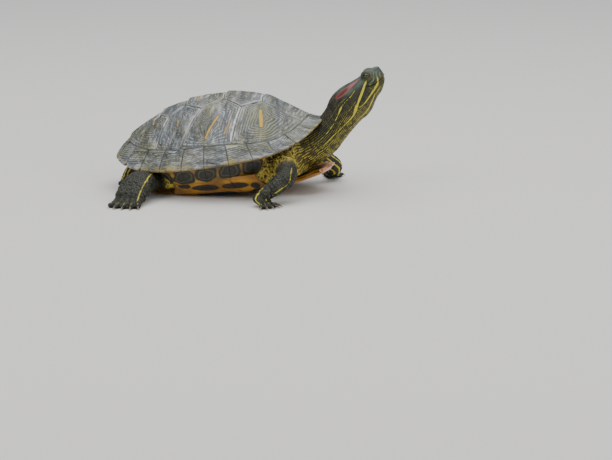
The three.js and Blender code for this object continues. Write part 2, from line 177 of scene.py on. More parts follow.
def applyModifier(obj, kind, **settings):
    only(obj)
    modifier = obj.modifiers.new(kind, kind)
    for name, value in settings.items():
        setattr(modifier, name, value)
    bpy.ops.object.modifier_apply(modifier=modifier.name)


def sheetOf(name, points, fields=None):
    # a grid primitive whose rows and columns are moved to points[row, column]
    rows, columns = points.shape[:2]
    bpy.ops.mesh.primitive_grid_add(x_subdivisions=columns - 1, y_subdivisions=rows - 1, size=1)
    obj = bpy.context.active_object
    obj.name = obj.data.name = name
    movePoints(obj, points.reshape(-1, 3))
    for key, values in (fields or {}).items():
        setField(obj, key, values.ravel())
    while obj.data.uv_layers:
        obj.data.uv_layers.remove(obj.data.uv_layers[0])
    return obj


def joined(pieces, name):
    bpy.ops.object.select_all(action="DESELECT")
    for piece in pieces:
        piece.select_set(True)
    bpy.context.view_layer.objects.active = pieces[0]
    bpy.ops.object.join()
    pieces[0].name = pieces[0].data.name = name
    return pieces[0]


def outward(obj):
    # closes the doubles of seams and poles and points the faces outwards
    applyModifier(obj, "WELD", merge_threshold=weldGap)
    bpy.ops.object.mode_set(mode="EDIT")
    bpy.ops.mesh.select_all(action="SELECT")
    bpy.ops.mesh.normals_make_consistent(inside=False)
    bpy.ops.object.mode_set(mode="OBJECT")


def show(piece, slot, material, *replaced):
    piece.data.materials.clear()
    piece.data.materials.append(material)
    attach(piece, "root")
    if replaced:
        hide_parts(*replaced)


pose = {
    "shellPitch": 9,  # the chest is raised by this, in degrees
    "shellPivot": (0, 0, 49),
    "pivotHeight": 50.2,
    "headPitch": 34,
    "headPlace": (125, 0, 87.2),
    "eyePlace": (32.8, 7.6, 12.2),
    "eyeRadius": 4.7,
}
shellTurn, headTurn = turn(pose["shellPitch"]), turn(pose["headPitch"])
eyeMiddle = sum(np.array(c) for side in ("left", "right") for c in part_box("eye_" + side)) / 4 / metre
eyeAtRest = headTurn @ np.array([pose["eyePlace"][0], 0, pose["eyePlace"][2]]) + pose["headPlace"]
turtlePlace = eyeMiddle - eyeAtRest
shellPlace = np.array([0, 0, pose["pivotHeight"]]) - shellTurn @ np.array(pose["shellPivot"]) + turtlePlace
headPlace = np.array(pose["headPlace"]) + turtlePlace


def toShell(p):
    return (np.asarray(p) - shellPlace) @ shellTurn


def fromShell(q):
    return np.asarray(q) @ shellTurn.T + shellPlace


def toHead(p):
    return (np.asarray(p) - headPlace) @ headTurn


def fromHead(q):
    return np.asarray(q) @ headTurn.T + headPlace


view = {
    "azimuth": 8.5,  # degrees from the right side towards the front
    "elevation": 12,
    "pixelsPerMm": 1.02,  # at the shell
    "frame": (612, 460),  # pixels
    "shellPixel": (221, 137),  # where the shell's pivot is seen
    "distance": 2800,
    "sensor": 36,
}


def setStage():
    az, el = math.radians(view["azimuth"]), math.radians(view["elevation"])
    back = np.array([math.sin(az) * math.cos(el), -math.cos(az) * math.cos(el), math.sin(el)])
    right = np.array([math.cos(az), math.sin(az), 0])
    up = np.cross(back, right)
    pivot = turtlePlace + [0, 0, pose["pivotHeight"]]
    aside = (view["frame"][0] / 2 - view["shellPixel"][0]) / view["pixelsPerMm"]
    below = (view["frame"][1] / 2 - view["shellPixel"][1]) / view["pixelsPerMm"]
    target = pivot + right * aside - up * below
    bpy.ops.object.camera_add(location=(target + back * view["distance"]) * metre)
    camera = bpy.context.active_object
    camera.rotation_euler = Vector(back).to_track_quat("Z", "Y").to_euler()
    camera.data.sensor_width = view["sensor"]
    camera.data.sensor_fit = "HORIZONTAL"
    camera.data.lens = view["sensor"] * view["distance"] * view["pixelsPerMm"] / view["frame"][0]
    camera.data.clip_start = 0.05
    camera.data.clip_end = 100
    bpy.context.scene.camera = camera

    world = bpy.data.worlds.new("Studio")
    bpy.context.scene.world = world
    world.use_nodes = True
    fill(world.node_tree, world.node_tree.nodes["Background"], {"Color": "#e4e9f0", "Strength": 0.5})

    # a broad sky panel above, a key to the left of the camera and a panel in front of the head
    for name, place, size, power in (
        ("SkyPanel", (0.1, 0.25, 1.9), 2.4, 44),
        ("KeyPanel", (-1.1, -1.6, 1.5), 1.3, 18),
        ("FrontPanel", (1.7, -1.2, 1.2), 1.2, 13),
    ):
        bpy.ops.object.light_add(type="AREA", location=place)
        light = bpy.context.active_object
        light.name = name
        light.data.size = size
        light.data.energy = power
        light.rotation_euler = Vector(place).to_track_quat("Z", "Y").to_euler()

    bpy.ops.mesh.primitive_plane_add(size=40, location=(0, 0, -0.0001))
    floor = bpy.context.active_object
    floor.name = "StudioFloor"
    material, tree, surface, _ = newMaterial("StudioFloor")
    fill(tree, surface, {"Base Color": "#dcdad5", "Roughness": 0.85})
    floor.data.materials.append(material)


setStage()
print("stage set")

shell = {
    "length": 210,
    "width": 156,
    "top": 92,
    "rimSide": 33.5,  # height of the free edge over the bridge
    "rimFrontRise": 22.5,
    "rimRearRise": 13.5,
    "rearSwell": 0.04,
    "wall": 4.5,
    "edgeThick": 2.4,
    "bridgeLip": 15.5,
    "bridgeFront": 46,
    "bridgeRear": -42,
    "marginalInner": 0.865,  # share of the plan radius
    "lipShare": 0.915,
    "hornThick": 3.2,  # of each scute, from its face inwards
    "grain": 0.75,  # spacing of the points on a scute's face
    "keelRise": 1.9,
    "keelWidth": 4.6,
    "seamDrop": 0.45,
    "seamWidth": 0.8,
}
halfLength, halfWidth = shell["length"] / 2, shell["width"] / 2


def planOf(angle, share):
    c, s = np.cos(angle), np.sin(angle)
    return halfLength * share * c, halfWidth * share * s * (1 - shell["rearSwell"] * c)


def planInverse(x, y):
    # the angle and the share of the plan radius at a point of the plan
    angle = np.arctan2(y / halfWidth, x / halfLength)
    for _ in range(6):
        swell = 1 - shell["rearSwell"] * np.cos(angle)
        angle = np.arctan2(y / halfWidth / swell, x / halfLength)
    swell = 1 - shell["rearSwell"] * np.cos(angle)
    return angle, np.hypot(x / halfLength, y / halfWidth / swell)


def rimHeight(angle):
    c = np.cos(angle)
    return shell["rimSide"] + np.where(c > 0, shell["rimFrontRise"], shell["rimRearRise"]) * c**4


def domeHeight(angle, share, top=None):
    c = np.cos(angle)
    roundness = 1.6 + np.where(c > 0, 1.4, 0.4) * c * c
    flare = 0.75 + np.where(c > 0, 1.35, 0.11) * c * c
    rise = (1 - np.minimum(1, share) ** roundness) ** flare
    rim = rimHeight(angle)
    return rim + ((top or shell["top"]) - rim) * rise


def bridgeShare(angle):
    x = halfLength * np.cos(angle)
    front, rear = shell["bridgeFront"], shell["bridgeRear"]
    return smooth(rear - 16, rear, x) * (1 - smooth(front, front + 14, x))


def plastronUnder(x, y):
    rear = np.maximum(0, 30 - x) / 90
    front = np.maximum(0, x - 62) / 46
    out = np.maximum(0, np.abs(y) - 42) / 28.6
    return -1 + 8.5 * rear**1.6 + 6.6 * front**1.3 + 18 * out**1.7


def withoutSpikes(outline):
    # drops doubled points and the slivers where a border turns back on itself
    while True:
        outline = outline[np.linalg.norm(np.roll(outline, -1, 0) - outline, axis=1) > 0.05]
        way = unit(np.roll(outline, -1, 0) - outline)
        tips = (way * np.roll(way, 1, 0)).sum(1) < -0.9
        if not tips.any():
            return outline
        outline = outline[~tips]


def nodeOutline(name, under=False):
    # the border of a scute's outer face, in plan, in the shell's frame and in order
    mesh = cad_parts[name].data
    co = np.array([v.co for v in mesh.vertices]) / metre
    mesh.calc_loop_triangles()
    triangles = np.array([t.vertices for t in mesh.loop_triangles])
    points, index = np.unique(np.round(toShell(co), 2), axis=0, return_inverse=True)
    triangles = index.reshape(-1)[triangles]
    a, b, c = (points[triangles[:, k]] for k in range(3))
    normals = np.cross(b - a, c - a)
    height = normals[:, 2] / np.maximum(1e-9, np.linalg.norm(normals, axis=1))
    outer = triangles[height < -0.08 if under else height > 0.08]
    edges = {(t[k], t[(k + 1) % 3]) for t in outer for k in range(3)}
    follow = {p: q for p, q in edges if (q, p) not in edges}
    loops = []
    while follow:
        start = next(iter(sorted(follow)))
        loop, p = [], start
        while p in follow:
            loop.append(p)
            p = follow.pop(p)
        loops.append(loop)
    outline = withoutSpikes(points[max(loops, key=len)][:, :2])
    area = np.sum(outline[:, 0] * np.roll(outline[:, 1], -1) - np.roll(outline[:, 0], -1) * outline[:, 1])
    return outline if area > 0 else outline[::-1]


def evenly(outline, step):
    # points about a step apart that keep the outline's corners
    along, back = np.roll(outline, -1, 0) - outline, outline - np.roll(outline, 1, 0)
    bend = np.abs(np.cross(unit(back), unit(along)))
    corners = np.flatnonzero(bend > math.sin(math.radians(14)))
    outline = np.roll(outline, -corners[0], 0)
    corners = [*(corners - corners[0]), len(outline)]
    closed = np.vstack([outline, outline[:1]])
    spaced = []
    for a, b in zip(corners, corners[1:]):
        run = closed[a : b + 1]
        lengths = np.concatenate([[0], np.cumsum(np.linalg.norm(np.diff(run, axis=0), axis=1))])
        count = max(1, round(lengths[-1] / step))
        at = np.linspace(0, lengths[-1], count + 1)[:-1]
        spaced.append(np.stack([np.interp(at, lengths, run[:, k]) for k in (0, 1)], -1))
    return np.vstack(spaced)


def growthRelief(plan, ring, edge, seed, count):
    # the worn growth rings and the wrinkles of a scute's face, in mm
    wobble = 0.05 * noise(plan, 14, seed) + 0.018 * noise(plan, 4, seed + 1)
    phase = (ring + wobble) * count
    part = phase - np.floor(phase)
    step = np.where(part < 0.8, part / 0.8, (1 - part) / 0.2)  # a slow rise and a quick drop
    strength = (0.24 + 0.3 * ring) * smooth(0.1, 0.3, ring)
    wrinkles = 0.35 * noise(plan * [1, 0.4, 1], 5, seed + 2) + 0.14 * noise(plan, 1.7, seed + 3)
    drop = shell["seamDrop"] * np.exp(-((edge / shell["seamWidth"]) ** 2))
    return strength * (step - 0.5) + wrinkles - drop


def segmentDistance(points, a, b):
    a, b = np.asarray(a, float), np.asarray(b, float)
    t = np.clip(((points - a) @ (b - a)) / ((b - a) @ (b - a)), 0, 1)
    return np.linalg.norm(points - a - t[:, None] * (b - a), axis=1)


# streaks of the carapace: two ends in plan on one side, (forward, outward), and the half width
streaks = [
    ((48.3, 26.4), (49.0, 40.0), 1.5),
    ((8.4, 40.3), (-2.6, 60.5), 0.8),
    ((20.3, 44.0), (15.2, 57.0), 0.35),
    ((-31.4, 36.0), (-32.0, 43.0), 0.4),
    ((-60.0, 13.0), (-59.2, 24.5), 0.55),
    ((-15.3, 1.0), (-14.9, 12.5), 0.5),
    ((31.0, 0.0), (38.0, 0.0), 0.9),
    ((-40.0, 0.0), (-46.0, 0.0), 0.8),
]


def streakGap(plan):
    # how far a point of the plan is from the nearest streak's edge, in mm, less than 0 inside it
    side = np.stack([plan[:, 0], np.abs(plan[:, 1])], -1)
    wander = 0.5 * noise(plan, 5, 8)
    return np.min([segmentDistance(side, a, b) - half for a, b, half in streaks], axis=0) + wander


spines = {  # the line that each disc scute has grown out from: two ends in plan, (forward, outward)
    "pleural_1": ((48.3, 27.0), (48.9, 39.0)),
    "pleural_2": ((6.0, 40.0), (-1.0, 58.0)),
    "pleural_3": ((-31.7, 32.0), (-33.5, 52.0)),
    "pleural_4": ((-60.0, 12.0), (-60.5, 28.0)),
}


def discScute(name, seed):
    outline = evenly(nodeOutline(name), shell["grain"] * 1.3)
    middle = outline.mean(0)
    centre = middle if name.startswith("vertebral") else middle - [0, 4 * np.sign(middle[1])]
    rear = outline[:, 0].min()
    spine = ((rear + 9, 0), (rear + 14, 0))
    if name.startswith("pleural"):
        spine = spines["pleural_" + name.split("_")[-1]]
    ends = np.vstack([outline, outline[:1]])
    reach = np.linalg.norm(ends - centre, axis=1).max()
    rings = np.linspace(0, 1, max(12, round(reach / shell["grain"])) + 1)
    plan = centre + rings[:, None, None] * (ends - centre)
    flat = plan.reshape(-1, 2)
    angle, share = planInverse(flat[:, 0], flat[:, 1])
    deep = np.column_stack([flat, np.zeros(len(flat))])
    inward = np.linalg.norm(ends - centre, axis=1) * 0.8
    edge = ((1 - rings)[:, None] * inward).ravel()
    out = segmentDistance(np.stack([flat[:, 0], np.abs(flat[:, 1])], -1), *spine)
    ring = out / (out + edge + 0.01)
    # chalk gathers along the seams that run outward
    run = unit(np.roll(outline, -1, 0) - np.roll(outline, 1, 0))
    chalk = np.where(planInverse(*outline.T)[1] > 0.84, 0.1, 0.3 + 0.7 * run[:, 1] ** 2)
    chalk *= 0.75 + 0.25 * np.sign(outline[:, 0] - centre[0])
    olive = (1 - smooth(9, 20, out)) if name.startswith("pleural") and name.endswith("1") else 0.1 + 0 * out
    chalk = np.tile([*chalk, chalk[0]], len(rings))
    relief = growthRelief(deep, ring, edge, seed, 9 if name.startswith("pleural") else 7)
    height = domeHeight(angle, share) + relief
    if name.startswith("vertebral"):
        back = 1 - (flat[:, 0] - outline[:, 0].min()) / np.ptp(outline[:, 0])
        keel = np.exp(-((flat[:, 1] / shell["keelWidth"]) ** 2))
        height += shell["keelRise"] * keel * back**1.5 * smooth(0, 2.5, edge)
    points = fromShell(np.column_stack([flat, height])).reshape(*plan.shape[:2], 3)
    fields = {
        "ring": ring,
        "edge": edge,
        "streak": streakGap(deep),
        "under": 0 * ring,
        "blotch": 0 * ring + 9,
        "rim": 0 * ring,
        "chalk": chalk,
        "brim": 0 * ring,
        "olive": olive,
    }
    obj = sheetOf("scute_" + name, points, fields)
    applyModifier(obj, "WELD", merge_threshold=weldGap)
    upright = meshNormals(obj).mean(0) @ shellTurn[:, 2]
    if upright < 0:
        obj.data.flip_normals()
    applyModifier(obj, "SOLIDIFY", thickness=shell["hornThick"] * metre, offset=-1, use_even_offset=False)
    return obj


marginal = {
    "topSteps": 17,
    "underSteps": 15,
    "alongSteps": 34,
    "nick": 0.06,
    "reach": 1.04,
    "gutter": 0.9,  # how far the side edge curls up
    "face": 13,  # from the inner seam to the free edge
    "tongue": 0.04,  # reach under the disc, as a share of the plan radius
    "tongueDrop": 1.8,
    "blotchHalf": 0.47,  # half length of the dark oval below, as a share of the scute's
}


def marginalScute(name, seed):
    outline = nodeOutline(name)
    angle, share = planInverse(outline[:, 0], outline[:, 1])
    if name == "nuchal":
        first, last, nick = angle[share > 0.9].min(), angle[share > 0.9].max(), 0
    else:
        number = int(name.split("_")[-1]) - 1
        angle = np.abs(angle)
        first, last = angle[share > 0.9].min(), angle[share > 0.9].max()
        nick = marginal["nick"] * smooth(6, 10, number)
    side = -1 if "right" in name else 1
    t = np.linspace(0, 1, marginal["alongSteps"] + 1)
    around = first + (last - first) * t
    toSeam = np.minimum(t, 1 - t)
    outer = np.minimum(1, marginal["reach"] - nick * (1 + 2 * (1 - smooth(0, 0.32, toSeam))) / 3)
    rim = rimHeight(around)
    lip = shell["edgeThick"] + (shell["bridgeLip"] - shell["edgeThick"]) * bridgeShare(around)
    inner = shell["marginalInner"]
    rows = []  # share, height, place across the face from 0 at the inner seam, and 1 on the underside
    for s in np.linspace(0, 1, marginal["topSteps"]):
        across = inner + (outer - inner) * s
        curl = marginal["gutter"] * smooth(0.55, 1, s) * np.sin(around) ** 2
        rows.append((across, domeHeight(around, across) + curl, s, 0))
    edgeHeight = domeHeight(around, outer) + marginal["gutter"] * np.sin(around) ** 2
    for inset, drop in ((-0.003, 0.5), (-0.001, 1.3), (0.004, 2.0)):
        rows.append((outer - inset, edgeHeight - drop, 1, 0.4 * drop))
    for s in np.linspace(0, 1, marginal["underSteps"]):
        across = outer - 0.008 + (shell["lipShare"] - outer + 0.008) * s
        start = edgeHeight - shell["edgeThick"]
        bulge = 1.2 * np.sin(math.pi * s) * bridgeShare(around)
        rows.append((across + bulge / halfWidth, start + (rim - lip - start) * s, s, 1))
    wall = shell["wall"]
    rows.append((0 * t + inner, domeHeight(around, 0 * t + 0.9, shell["top"] - wall), 1, 1))
    tongue = 0 * t + inner - marginal["tongue"]
    rows.append((tongue, domeHeight(around, tongue) - marginal["tongueDrop"], 0, 0))
    rows.append(rows[0])
    plan = [planOf(side * around, r[0]) for r in rows]
    points = np.array([np.stack([x, y, r[1]], -1) for (x, y), r in zip(plan, rows)])
    across = np.repeat([r[2] for r in rows], len(t))
    under = np.repeat([float(r[3]) for r in rows], len(t))
    along = np.tile(t, len(rows))
    run = np.linalg.norm(np.diff(points[0], axis=0), axis=1).sum()
    flat = points.reshape(-1, 3)
    seamward = np.minimum(along, 1 - along) * run
    face = marginal["face"]
    edge = np.where(under < 0.3, np.minimum(seamward, across * face + 0.4), seamward)
    edge[-2 * len(t) :] = 0.4
    # growth rings stand about the rear lower corner, where the scute was small
    ring = np.clip(1 - across + 0.25 * along, 0, 1)
    deep = np.column_stack([flat[:, :2], 0 * along])
    relief = growthRelief(deep, ring, edge, seed, 6) * np.where(under < 0.3, 1, 0.25)
    relief[-3 * len(t) :] = 0
    relief[-len(t) :] = relief[: len(t)]
    lift = np.zeros_like(flat)
    lift[:, 2] = relief
    middle = 0.40 + 0.04 * math.sin(seed)
    tall = np.where(bridgeShare(np.tile(around, len(rows))) > 0.3, 0.56, 0.38)
    oval = np.abs(seamward / (marginal["blotchHalf"] * run)) ** 2.6 + np.abs((across - middle) / tall) ** 2.6
    oval = oval ** (1 / 2.6)
    blotch = (oval - 1) * 5 + 1.1 * noise(flat, 5, seed)
    inFace = np.column_stack([along * run, across * face])
    dash = segmentDistance(inFace, (0.45 * run, 5), (0.62 * run, 11)) - 0.5
    streak = np.where(under < 0.3, dash + 0.5 * noise(deep, 4, seed + 5) + 0.8, 9)
    fields = {
        "ring": ring,
        "edge": edge,
        "streak": streak,
        "under": np.minimum(under, 1),
        "blotch": blotch,
        "rim": 0 * ring + 1,
        "chalk": 0 * ring + 0.06,
        "brim": smooth(0.82, 0.97, across) * (under < 0.9),
        "olive": 0.7 * smooth(0, 0.7, noise(deep, 14, seed + 9)),
    }
    obj = sheetOf("scute_" + name, fromShell(flat + lift).reshape(points.shape), fields)
    applyModifier(obj, "WELD", merge_threshold=weldGap)
    bpy.ops.object.mode_set(mode="EDIT")
    bpy.ops.mesh.select_all(action="DESELECT")
    bpy.ops.mesh.select_non_manifold()
    bpy.ops.mesh.fill()
    bpy.ops.mesh.select_all(action="SELECT")
    bpy.ops.mesh.normals_make_consistent(inside=False)
    bpy.ops.object.mode_set(mode="OBJECT")
    return obj


bridgeOvals = [  # dark ovals of the plastron beside the bridge: forward, outward, half length and half width
    (19.5, 62.5, 13.0, 4.4),
    (-9.5, 62, 13.5, 4.6),
    (-30, 65, 6.0, 3.6),
    (38, 60, 4.6, 4.4),
]


plate = {
    "rounding": 2.1,  # at the plastron's free edge
    "spacing": 1.2,  # of the points on a plate's face
    "seamDrop": 0.5,
    "seamWidth": 0.9,
    "blotch": (0.30, 0.26),  # half length and half width of the dark blotch, as shares of the plate's
}
plastralNames = [
    name for name in sorted(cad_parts)
    if name.split("_")[0] in ("gular", "humeral", "pectoral", "abdominal", "femoral", "anal")
]
plastralOutlines = {name: evenly(nodeOutline(name, under=True), 1.3) for name in plastralNames}


def plastralScute(name, seed):
    outline = plastralOutlines[name]
    others = np.vstack([o for other, o in plastralOutlines.items() if other != name])
    alone = smooth(0.9, 2.2, np.linalg.norm(outline[:, None] - others, axis=2).min(1))
    centre = outline.mean(0)
    ends = np.vstack([outline, outline[:1]])
    reach = np.linalg.norm(ends - centre, axis=1).max()
    rings = 1 - np.linspace(1, 0, max(12, round(reach / plate["spacing"])) + 1) ** 1.3
    plan = centre + rings[:, None, None] * (ends - centre)
    flat = plan.reshape(-1, 2)
    ring = np.repeat(rings, len(ends))
    edge = ((1 - rings)[:, None] * np.linalg.norm(ends - centre, axis=1) * 0.8).ravel()
    deep = np.column_stack([flat, np.zeros(len(flat))])
    drop = plate["seamDrop"] * np.exp(-((edge / plate["seamWidth"]) ** 2))
    relief = 0.08 * np.sin(2 * math.pi * (ring + 0.05 * noise(deep, 12, seed)) * 6)
    relief += 0.06 * noise(deep, 3, seed)
    bend = plate["rounding"]
    inset = np.clip(1 - edge / bend, 0, 1)
    rounded = np.tile([*alone, alone[0]], len(rings)) * bend * (1 - np.sqrt(1 - inset**2))
    height = plastronUnder(flat[:, 0], flat[:, 1]) + drop - relief + rounded
    faces = fromShell(np.column_stack([flat, height]))
    faces[:, 2] = np.maximum(faces[:, 2], 0.0)
    size = np.sqrt(np.ptp(outline[:, 0]) * np.ptp(outline[:, 1]))
    off = (flat - centre) / (np.ptp(outline, axis=0) * np.array(plate["blotch"]))
    blotch = (np.linalg.norm(off, axis=1) - 1) * 0.2 * size + 2.2 * noise(deep, 9, seed)
    for forward, out, length, wide in bridgeOvals:
        oval = np.hypot((flat[:, 0] - forward) / length, (np.abs(flat[:, 1]) - out) / wide)
        blotch = np.minimum(blotch, (oval - 1) * 4 + 0.5 * noise(deep, 5, 9))
    fields = {
        "ring": ring, "edge": edge, "blotch": blotch, "lip": smooth(91, 104, flat[:, 0]), "rounded": rounded
    }
    obj = sheetOf("scute_" + name, faces.reshape(*plan.shape[:2], 3), fields)
    applyModifier(obj, "WELD", merge_threshold=weldGap)
    if meshNormals(obj).mean(0) @ shellTurn[:, 2] > 0:
        obj.data.flip_normals()
    outer = len(obj.data.vertices)
    applyModifier(obj, "SOLIDIFY", thickness=(shell["wall"] - 0.3) * metre, offset=-1, use_even_offset=False)
    points = meshPoints(obj)
    rounded = np.zeros(len(points), np.float32)
    obj.data.attributes["rounded"].data.foreach_get("value", rounded)
    points[outer:] -= 0.9 * rounded[outer:, None] * shellTurn[:, 2]
    movePoints(obj, points)
    return obj


def carapaceMaterial():
    # dry keratin: neutral grey-olive horn with worn growth lines under a chalky bloom, matt, faintly glossy
    material, tree, surface, field = newMaterial(
        "WeatheredHorn", "ring", "edge", "rim", "olive", "streak", "chalk", "brim", "blotch", "under"
    )
    place = addNode(tree, "TexCoord", {}, "Object")
    # wear runs down the sides on the disc, and along the rim on the marginals
    downward = addNode(tree, "Mapping", {"Vector": place, "Scale": (1, 0.28, 0.32)})
    forward = addNode(tree, "Mapping", {"Vector": place, "Scale": (0.3, 0.8, 1)})
    grained = addNode(tree, "Mix", {0: field["rim"], 4: downward, 5: forward}, 1, data_type="VECTOR")
    # patches about 12 mm across, streaks of 3 mm, grain of 1 mm and hues that change over 20 mm
    flow = {"Vector": grained, "Distortion": 0.7}
    patches = addNode(tree, "TexNoise", flow | {"Scale": 85, "Detail": 4, "Roughness": 0.55})
    wear = addNode(tree, "TexNoise", flow | {"Scale": 300, "Detail": 5, "Roughness": 0.62})
    grain = addNode(tree, "TexNoise", {"Vector": place, "Scale": 800, "Detail": 3, "Roughness": 0.6})
    hues = addNode(tree, "TexNoise", {"Vector": place, "Scale": 48, "Detail": 3, "Roughness": 0.5})
    stops = [(0.32, "#2f363b"), (0.43, "#555854"), (0.54, "#7d7f79"), (0.66, "#b1b2ae")]
    horn = addNode(tree, "ValToRGB", {0: patches}, stops=stops)
    horn = layered(tree, horn, [((hues, 0.5, 0.66, 0.45), "#686a4b"), ((hues, 0.5, 0.36, 0.45), "#6e7b8d")])
    stops = [(0.32, "#2f3133"), (0.5, "#808080"), (0.68, "#d9d9d6")]
    worn = addNode(tree, "ValToRGB", {0: wear}, stops=stops)
    horn = addNode(tree, "Mix", {0: 0.8, 6: horn, 7: worn}, blend_type="OVERLAY", **colours)
    # growth lines, bent by the wear and broken by it; where the horn is olive the pale lines are whole
    bent = addNode(tree, "Math", {0: patches, 1: 0.16, 2: field["ring"]}, operation="MULTIPLY_ADD")
    bent = addNode(tree, "Math", {0: bent, 1: 9.0}, operation="MULTIPLY")
    wave = addNode(tree, "Math", {0: bent, 1: 0.5}, operation="PINGPONG")
    outward = addNode(tree, "MapRange", {0: field["ring"], 1: 0.1, 2: 0.25})
    low = addNode(tree, "MapRange", {0: wave, 1: 0.12, 2: 0.02})
    high = addNode(tree, "MapRange", {0: wave, 1: 0.36, 2: 0.45})
    unworn = addNode(tree, "MapRange", {0: wear, 1: 0.36, 2: 0.5})
    oliveLine = addNode(tree, "MapRange", {0: field["olive"], 1: 0.1, 2: 0.7})
    whole = addNode(tree, "MapRange", {0: wear, 1: 0.44, 2: 0.6})
    whole = addNode(tree, "Math", {0: whole, 1: oliveLine}, operation="MAXIMUM")
    lines = []
    for line, broken in ((low, unworn), (high, whole)):
        line = addNode(tree, "Math", {0: line, 1: broken}, operation="MULTIPLY")
        lines.append(addNode(tree, "Math", {0: line, 1: outward}, operation="MULTIPLY"))
    darkLine, paleLine = lines
    olive = addNode(tree, "MapRange", {0: hues, 1: 0.46, 2: 0.56})
    olive = addNode(tree, "Math", {0: olive, 1: field["olive"]}, operation="MAXIMUM")
    paleTone = addNode(tree, "Mix", {0: olive, 6: "#bdbfbb", 7: "#a9a353"}, **colours)
    bloom = addNode(tree, "MapRange", {0: grain, 1: 0.54, 2: 0.74, 4: 0.4})
    streakTone = addNode(tree, "ValToRGB", {0: grain}, stops=[(0.35, "#bd7f08"), (0.65, "#d8a430")])
    streakTone = addNode(tree, "Mix", {0: field["olive"], 6: streakTone, 7: "#c79e10"}, **colours)
    # a broken chalky line beside each seam, and the dark seam itself
    beside = addNode(tree, "Math", {0: wear, 1: 7.0, 2: field["edge"]}, operation="MULTIPLY_ADD")
    beside = addNode(tree, "MapRange", {0: beside, 1: 5.1, 2: 4.3})
    patchy = addNode(tree, "MapRange", {0: patches, 1: 0.38, 2: 0.5, 3: 0.2, 4: 0.9})
    beside = addNode(tree, "Math", {0: beside, 1: patchy}, operation="MULTIPLY")
    beside = addNode(tree, "Math", {0: beside, 1: field["chalk"]}, operation="MULTIPLY")
    cleft = addNode(tree, "MapRange", {0: field["edge"], 1: 0.8, 2: 0.3})
    uneven = addNode(tree, "MapRange", {0: wear, 1: 0.35, 2: 0.55, 3: 0.25, 4: 0.8})
    cleft = addNode(tree, "Math", {0: cleft, 1: uneven}, operation="MULTIPLY")
    # the brim is rubbed pale, with flecks of yellow
    rubbed = addNode(tree, "MapRange", {0: wear, 1: 0.42, 2: 0.58, 3: 0.05, 4: 0.6})
    brim = addNode(tree, "Math", {0: field["brim"], 1: rubbed}, operation="MULTIPLY")
    horn = layered(tree, horn, [
        ((darkLine, 0, 1, 0.85), "#2b3036"),
        ((field["olive"], 0.3, 1, 0.4), "#4a5047"),
        ((paleLine, 0, 1, 0.85), paleTone),
        (bloom, "#c3c6c7"),
        ((field["streak"], 1.5, 0.3, 0.55), "#4a4d38"),  # the streaks' olive border
        ((field["streak"], 0.3, -0.25, 0.95), streakTone),
        (beside, "#d3d4d0"),
        (cleft, "#34372f"),
        (brim, layered(tree, "#b9bab4", [((hues, 0.5, 0.6, 1), "#a9903c")])),
    ])
    # underside of the rim: orange-yellow horn with dark ringed ovals; its horn tone is darkened as painted
    # shade, since it faces down under the shell
    belly = addNode(
        tree, "ValToRGB", {0: patches}, stops=[(0.35, "#46380a"), (0.5, "#78590b"), (0.65, "#a67f18")]
    )
    inside = addNode(tree, "MapRange", {0: field["blotch"], 1: 0.0, 2: -5.0})
    stops = [
        (0.2, "#0c0c07"), (0.3, "#4d4017"), (0.4, "#0d0d08"),
        (0.6, "#0f0f0a"), (0.72, "#29230e"), (0.8, "#11110a"),
    ]
    dark = addNode(tree, "ValToRGB", {0: inside}, stops=stops)
    belly = layered(tree, belly, [((field["blotch"], 0.4, -0.3, 1), dark)])
    lumps = addNode(tree, "Math", {0: wave, 1: 0.5, 2: wear}, operation="MULTIPLY_ADD")
    fill(tree, surface, {
        "Base Color": layered(tree, horn, [(field["under"], belly)]),
        "Roughness": addNode(tree, "MapRange", {0: bloom, 1: 0.0, 2: 0.4, 3: 0.48, 4: 0.72}),
        "IOR": 1.54,
        "Normal": addNode(tree, "Bump", {"Height": lumps, "Strength": 0.8, "Distance": 0.0006}),
    })
    return material


def plastronMaterial():
    # smooth horn: orange-yellow, stained darker towards the seams, with dark ringed blotches
    material, tree, surface, field = newMaterial("YellowHorn", "ring", "edge", "blotch", "lip")
    place = addNode(tree, "TexCoord", {}, "Object")
    # patches about 17 mm across and grain of 1.4 mm
    patches = addNode(tree, "TexNoise", {"Vector": place, "Scale": 60, "Detail": 4})
    grain = addNode(tree, "TexNoise", {"Vector": place, "Scale": 700, "Detail": 3})
    horn = addNode(
        tree, "ValToRGB", {0: patches}, stops=[(0.35, "#77500c"), (0.5, "#a9740e"), (0.65, "#c6901f")]
    )
    bent = addNode(tree, "Math", {0: patches, 1: 0.2, 2: field["ring"]}, operation="MULTIPLY_ADD")
    wave = addNode(tree, "Math", {0: bent, 1: 0.06}, operation="PINGPONG")
    inside = addNode(tree, "MapRange", {0: field["blotch"], 1: 0.0, 2: -4.0})
    stops = [(0.2, "#0c0c07"), (0.4, "#2c240e"), (0.55, "#0f0f09"), (1.0, "#1c190e")]
    dark = addNode(tree, "ValToRGB", {0: inside}, stops=stops)
    horn = layered(tree, horn, [
        ((wave, 0.012, 0.0, 0.35), "#6f4410"),
        ((field["edge"], 1.2, 0.2, 0.5), "#6f4410"),
        ((field["blotch"], 0.5, -0.4, 1), dark),
        ((field["lip"], 0.2, 1.0, 0.95), "#e8b496"),  # the raised front lip, rubbed pale
    ])
    fill(tree, surface, {
        "Base Color": horn,
        "Roughness": addNode(tree, "MapRange", {0: grain, 1: 0.3, 2: 0.7, 3: 0.36, 4: 0.52}),
        "IOR": 1.54,
        "Normal": addNode(tree, "Bump", {"Height": grain, "Strength": 0.25, "Distance": 0.0002}),
    })
    return material


